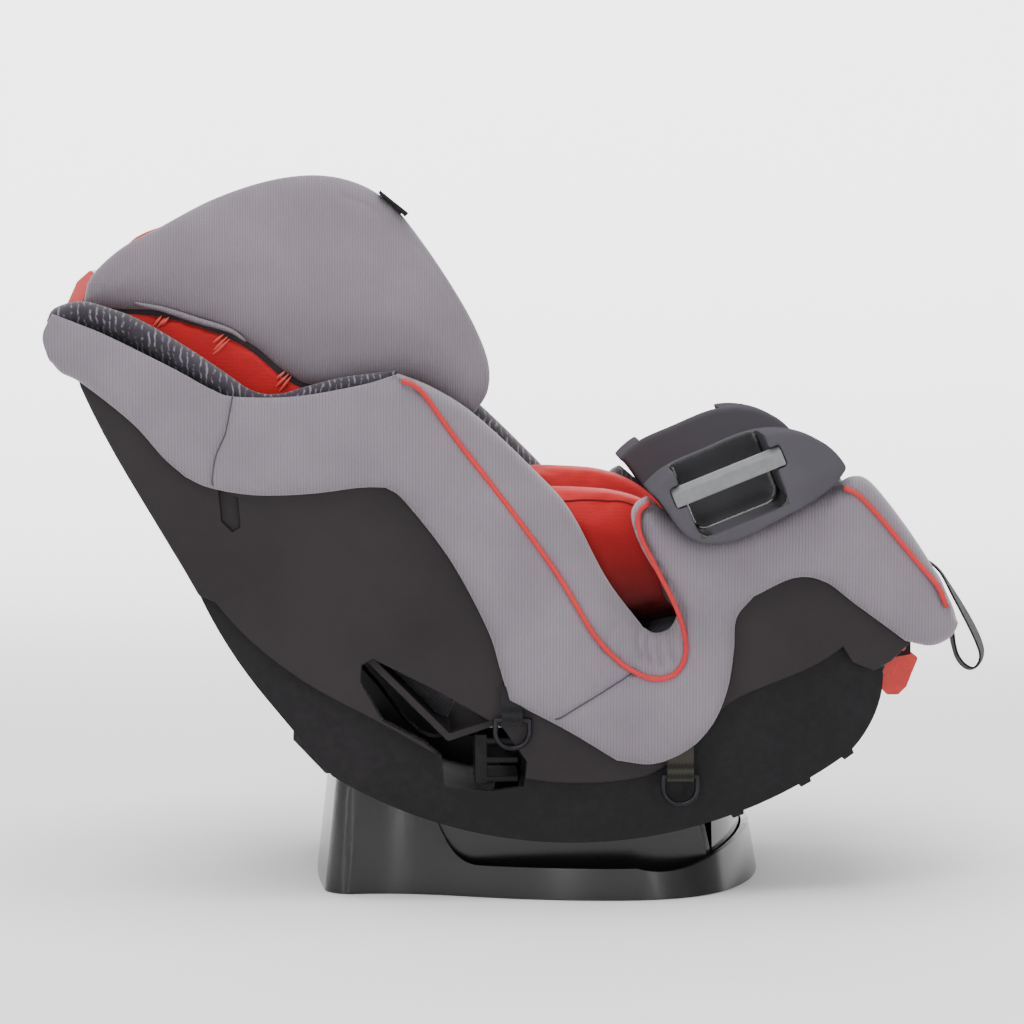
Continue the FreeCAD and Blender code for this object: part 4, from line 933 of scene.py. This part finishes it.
def inner_faces(points, edge):
    """Outer and inner y of the patterned inner leg."""
    rear = soft((-0.205 - points[:, 0]) / 0.03)
    middle = soft((-0.085 - points[:, 0]) / 0.02)
    near_top = 1 - soft((distance(points, STRIP_LINE) - 0.012) / 0.010)
    out_y = 0.1903 + near_top * (0.0205 * rear + 0.010 * middle * (1 - rear))
    rim = CREST_Y + 0.004 * rear
    outer = rim + (out_y - rim) * dome(edge, 0.012)
    face = COVER_IN_Y - 0.003 + 0.0015 * waves(points, 0.07, 8.3)
    inner = rim + (face - rim) * dome(edge, 0.017)
    return -outer, -inner


def side_covers():
    """Grey outer cover and patterned inner leg on both sides."""
    creases = SEAM_LINES + PLEATS + WRINKLES + [PIPING_LINE, FRONT_PIPING_LINE]
    cover = panel("cover_right", COVER_LOOP, cover_faces, 0.005, 0.013, creases)
    inner = panel("inner_leg_right", inner_loop(), inner_faces, 0.007, 0.016)
    soft_pair(cover, GREY, "seat", "side_cover")
    soft_pair(inner, PATTERN, "seat", "side_liner")


def pipings():
    """Red cord along the cover's edge."""
    for side, sign in SIDES:
        cords = []
        for run in (PIPING, FRONT_PIPING):
            path = [(MM * x, sign * (COVER_Y + 0.0006), MM * z) for x, z in smooth(run, 4.0)]
            cords.append(tube("cord", path, 0.0021, 12))
        placed(joined("piping_cord_" + side, cords), RED_CORD, "seat", "red_piping", "piping_" + side)


side_covers()
pipings()


# ---- headrest

WING_BACK = [(594, 105), (604, 125), (603, 158), (593, 192), (578, 240), (556, 284), (530, 316), (500, 335)]
WING_CROWN = [(500, 335), (468, 341), (430, 337), (385, 328), (350, 318), (322, 305), (306, 288), (301, 268)]
WING_UNDER = [(301, 268), (312, 261), (338, 257), (362, 246), (386, 218), (413, 189), (437, 181), (470, 178),
              (505, 166), (545, 143), (572, 119), (594, 105)]
FRONT_SEAM = [(-132, 581), (-110, 572), (-84, 551), (-62, 530), (-44, 501), (-30, 475), (-22, 447),
              (-19, 426), (-25, 405)]
FRONT_SEAM_LINE = line(FRONT_SEAM, step=2.0)


def wing_faces(points, edge):
    """Outer and inner y of the headrest's right wing."""
    rim = 0.5 * (WING_OUT_Y + WING_IN_Y)
    face = WING_OUT_Y - 0.004 + 0.0055 * soft(edge / 0.07)
    face += 0.0012 * waves(points, 0.1, 5.5) * soft(edge / 0.04)
    face -= groove(points, FRONT_SEAM_LINE, 0.0026, 0.0016)
    outer = rim + (face - rim) * dome(edge, 0.021)
    inner = rim - (rim - WING_IN_Y) * dome(edge, 0.016)
    return -outer, -inner


def headrest():
    """Grey padded wings on both sides."""
    runs = [[on_back(a, b) for a, b in run] for run in (WING_BACK + WING_CROWN[1:], WING_UNDER)]
    wing = panel("head_wing_pad_right", loop(*runs), wing_faces, 0.005, 0.02, [FRONT_SEAM_LINE])
    soft_pair(wing, GREY_HEAD, "headrest", "head_wing")


headrest()


WING_HEM = [(-303, 494), (-297, 492), (-282, 489), (-266, 484), (-251, 479), (-237, 475), (-223, 470),
            (-212, 462)]


def hem_radius(share):
    """Radius of a hem's roll, fullest in the middle."""
    return 0.0006 + 0.0019 * sin(pi * share) ** 0.5


def wing_hems():
    """Turned hem along the lower edge of each wing."""
    for side, sign in SIDES:
        path = [(MM * x, sign * (WING_OUT_Y - 0.0045), MM * z) for x, z in smooth(WING_HEM, 4.0)]
        hem = tube("wing_hem_" + side, path, hem_radius, 12)
        placed(hem, GREY_HEAD, "headrest", "grey_fabric")


wing_hems()


GATHERS = [[((-288, 474), (-281, 483)), ((-285, 473), (-278, 481)), ((-281, 475), (-275, 482))],
           [((-240, 460), (-230, 468)), ((-240, 453), (-227, 466)), ((-241, 449), (-225, 464))],
           [((-187, 431), (-180, 437)), ((-188, 424), (-177, 435)), ((-185, 420), (-175, 433))]]


def gathers():
    """Pulled stitches on the red padding under the wings: groups of short slanted ridges, coloured a paler
    red as a painted highlight.
    """
    face = -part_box("head_base")[0].y - 0.0012
    for side, sign in SIDES:
        ridges = []
        for group in GATHERS:
            for start, end in group:
                path = []
                for share in (i / 10 for i in range(11)):
                    rise = 0.0011 * sin(pi * share)
                    point = [a + (b - a) * share for a, b in zip(start, end)]
                    path.append((MM * point[0], sign * (face + rise), MM * point[1]))
                ridges.append(tube("ridge", path, lambda share: 0.0003 + 0.0009 * sin(pi * share)))
        placed(joined("gathers_" + side, ridges), RED_PAINTED_HIGHLIGHT, "headrest", "red_fabric")


gathers()


# ---- cushions by simulation

FOAM_VOXEL = 0.005
FOAM_SHRINK = 0.0015
PRESSURE = 4.0


def copied(node, name):
    """A free copy of a CAD node's mesh, with its doubled points joined."""
    obj = linked(name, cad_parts[node].data.copy())
    with editing(obj.data) as work:
        bmesh.ops.remove_doubles(work, verts=work.verts, dist=1e-5)
    obj.data.materials.clear()
    return obj


def inflated(node, name, cap=0.008):
    """A CAD soft solid remeshed and blown up a little, as cloth over foam."""
    obj = copied(node, name)
    modifier(obj, "remesh", "REMESH", mode="VOXEL", voxel_size=FOAM_VOXEL)
    apply_modifiers(obj)
    with editing(obj.data) as work:
        work.normal_update()
        for vertex in work.verts:
            vertex.co -= vertex.normal * FOAM_SHRINK
        smoothed(work, 3)
    blow_up(obj, cap)
    modifier(obj, "subdivision", "SUBSURF", levels=1, render_levels=1)
    apply_modifiers(obj)
    obj.data.shade_smooth()
    return obj


def apply_modifiers(obj):
    """Replace the object's mesh with what its modifiers make of it."""
    graph = bpy.context.evaluated_depsgraph_get()
    mesh = bpy.data.meshes.new_from_object(obj.evaluated_get(graph))
    obj.modifiers.clear()
    obj.data = mesh


def blow_up(obj, cap):
    """Run cloth under pressure for twenty frames and cap each point's movement."""
    scene = bpy.context.scene
    rest = np.array([v.co for v in obj.data.vertices])
    cloth = obj.modifiers.new("cloth", "CLOTH")
    cloth.settings.use_pressure = True
    cloth.settings.uniform_pressure_force = PRESSURE
    cloth.settings.effector_weights.gravity = 0.0
    cloth.point_cache.frame_start = 1
    cloth.point_cache.frame_end = 20
    for number in range(1, 21):
        scene.frame_set(number)
    graph = bpy.context.evaluated_depsgraph_get()
    swollen = obj.evaluated_get(graph).to_mesh()
    moved = np.array([v.co for v in swollen.vertices]) - rest
    reach = np.linalg.norm(moved, axis=1)
    moved *= (np.minimum(reach, cap) / np.maximum(reach, 1e-9))[:, None]
    obj.modifiers.clear()
    scene.frame_set(1)
    obj.data.vertices.foreach_set("co", (rest + moved).astype(np.float32).ravel())
    obj.data.update()


def channels(obj, paths, width, depth):
    """Press sewn channels into a cushion along lines given in mm."""
    points = np.array([vertex.co for vertex in obj.data.vertices])
    normals = np.array([vertex.normal for vertex in obj.data.vertices])
    nearest = np.full(len(points), 1.0)
    for path in paths:
        for start, end in zip(path, path[1:]):
            first = MM * np.array(start, float)
            along = MM * np.array(end, float) - first
            share = np.clip((points - first) @ along / (along @ along), 0, 1)
            nearest = np.minimum(nearest, np.linalg.norm(points - first - share[:, None] * along, axis=1))
    pressed = points - normals * (depth * np.exp(-(nearest / width) ** 2))[:, None]
    obj.data.vertices.foreach_set("co", pressed.astype(np.float32).ravel())
    obj.data.update()


def seam_on(obj, name, path, radius, material):
    """A sewn line that lies on a cushion's surface, along points given in mm."""
    places = []
    for point in smooth(path, 4.0):
        found, place, normal, _ = obj.closest_point_on_mesh(MM * Vector(point))
        if found:
            places.append(place + normal * 0.3 * radius)
    seam = tube(name, places, radius, 8)
    placed(seam, material, "seat", "red_fabric" if material == RED_SEAM else "grey_fabric")


def cover_seams():
    """Stitched seams across the covers, laid in their furrows."""
    depth = 1000 * COVER_Y - 3.5
    for side, sign in SIDES:
        for label, run in (("rear", REAR_SEAM), ("low", LOW_SEAM)):
            path = [side_point(point, sign * depth) for point in run]
            cover = bpy.data.objects["cover_" + side]
            seam_on(cover, "cover_seam_" + label + "_" + side, path, 0.0007, GREY_SEAM)


def across(point, half):
    """A line straight across the seat through a side-view point."""
    return [(point[0], y, point[1]) for y in (-half, -0.3 * half, 0.3 * half, half)]


def cushions():
    """Seat and back pads, the insert's bolsters and the headrest's linings."""
    pads = (("back_pad", "back_cushion", [on_back(a, 102) for a in (120, 185, 250)]),
            ("seat_pad", "seat_cushion", [on_pan(s, 26) for s in (120, 180, 300)]))
    for node, name, places in pads:
        pad = inflated(node, name)
        channels(pad, [across(place, 150) for place in places], 0.004, 0.0035)
        soft_piece(pad, DARK_PAD, "seat", "grey_fabric", node)
    for side, sign in SIDES:
        node = "insert_bolster_" + side
        roll = inflated(node, "insert_roll_" + side)
        # The bolster's lower part is darkened by painted shade in its material.
        soft_piece(roll, RED_PAINTED_SHADE, "seat", "red_fabric", node)
        path = [(x, sign * 162, z) for x, z in INSERT_SEAM]
        seam_on(roll, "insert_seam_" + side, path, 0.0009, RED_SEAM)
    for node, name, cap in (("head_pillow", "head_cushion", 0.002),
                            ("head_base", "head_back_cushion", 0.0015)):
        soft_piece(inflated(node, name, cap), RED, "headrest", "red_fabric", node)


INSERT_SEAM = [(-84, 292), (-20, 321), (20, 329), (50, 331), (82, 331), (105, 328), (148, 304)]
cover_seams()
cushions()


# ---- armrests

ARM_VOXEL = 0.0017
NOSE_PULL = 0.026
LIP_PULL = 0.005


def arm_place(point):
    """A point's place along and above an armrest's tilted middle line."""
    tilt = radians(ARM_DEG)
    dx = point[0] - ARM_MIDDLE[0]
    dz = point[2] - ARM_MIDDLE[1]
    return dx * cos(tilt) + dz * sin(tilt), dz * cos(tilt) - dx * sin(tilt)


def armrest(side):
    """The moulded armrest: its nose drawn in, its lower lip tucked under and every edge eased."""
    node = "armrest_" + side
    obj = copied(node, "arm_" + side)
    modifier(obj, "remesh", "REMESH", mode="VOXEL", voxel_size=ARM_VOXEL)
    apply_modifiers(obj)
    with editing(obj.data) as work:
        for vertex in work.verts:
            along, up = arm_place(vertex.co)
            share = (abs(vertex.co.y) - ARM_NEAR_Y) / (ARM_FAR_Y - ARM_NEAR_Y)
            nose = NOSE_PULL * float(soft((along - 0.030) / 0.056))
            lip = LIP_PULL * float(soft((-0.010 - up) / 0.02))
            vertex.co.y -= copysign((nose + lip) * share, vertex.co.y)
        smoothed(work, 4)
    obj.data.shade_smooth()
    placed(obj, ARM_PLASTIC, "seat", "armrest_plastic", node)


armrest("right")
armrest("left")


# ---- rigid CAD parts

def soften(node, material, width=0.0012, segments=2):
    """A CAD part's finish, with its sharp edges eased by modifiers."""
    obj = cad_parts[node]
    finish_as(obj, material)
    modifier(obj, "weld", "WELD", merge_threshold=0.00001)
    modifier(obj, "flat faces", "DECIMATE", decimate_type="DISSOLVE", delimit={"MATERIAL"},
             angle_limit=radians(0.6))
    modifier(obj, "eased edges", "BEVEL", width=width, segments=segments, limit_method="ANGLE",
             angle_limit=radians(35), use_clamp_overlap=True, harden_normals=True)
    modifier(obj, "normals", "WEIGHTED_NORMAL", keep_sharp=True)


FINISHES = [
    (BASE_PLASTIC, ["base_shell", "base_cradle"]),
    (BLACK_RUBBER, ["base_feet"]),
    (STEEL, ["recline_rack", "base_screws", "buckle_tongues", "splitter_plate", "adjuster_lever"]),
    (SHELL_PLASTIC, ["shell_plates", "rear_panel", "rear_bracket", "headrest_shell"]),
    (INNER_PLASTIC_PAINTED_LIGHT, ["rocker_plate"]),
    (BAND_PLASTIC, ["rocker_side_right", "rocker_side_left", "rocker_rib_right", "rocker_rib_left",
                    "rocker_front", "belt_guides", "buckle", "chest_clip", "adjuster_body", "recline_lock",
                    "headrest_slider", "head_guide_right", "head_guide_left"]),
    (BAR_PLASTIC, ["cup_bar_right", "cup_bar_left"]),
    (RED_PLASTIC, ["buckle_button", "recline_handle", "headrest_lever"]),
    (BLACK_STEEL, ["ring_rear_right", "ring_rear_left", "ring_front_right", "ring_front_left"]),
]
for part_finish, part_names in FINISHES:
    for part_name in part_names:
        soften(part_name, part_finish)
# The rocker sides' inward faces take the lighter inner plastic, painted light inside the belt windows.
for part_side, outward in SIDES:
    side_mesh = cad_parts["rocker_side_" + part_side].data
    side_mesh.materials.append(INNER_PLASTIC_PAINTED_LIGHT)
    for side_face in side_mesh.polygons:
        side_face.material_index = int(side_face.normal.y * outward < -0.9)
    soften("shell_side_" + part_side, SHELL_PLASTIC, 0.0028, 4)
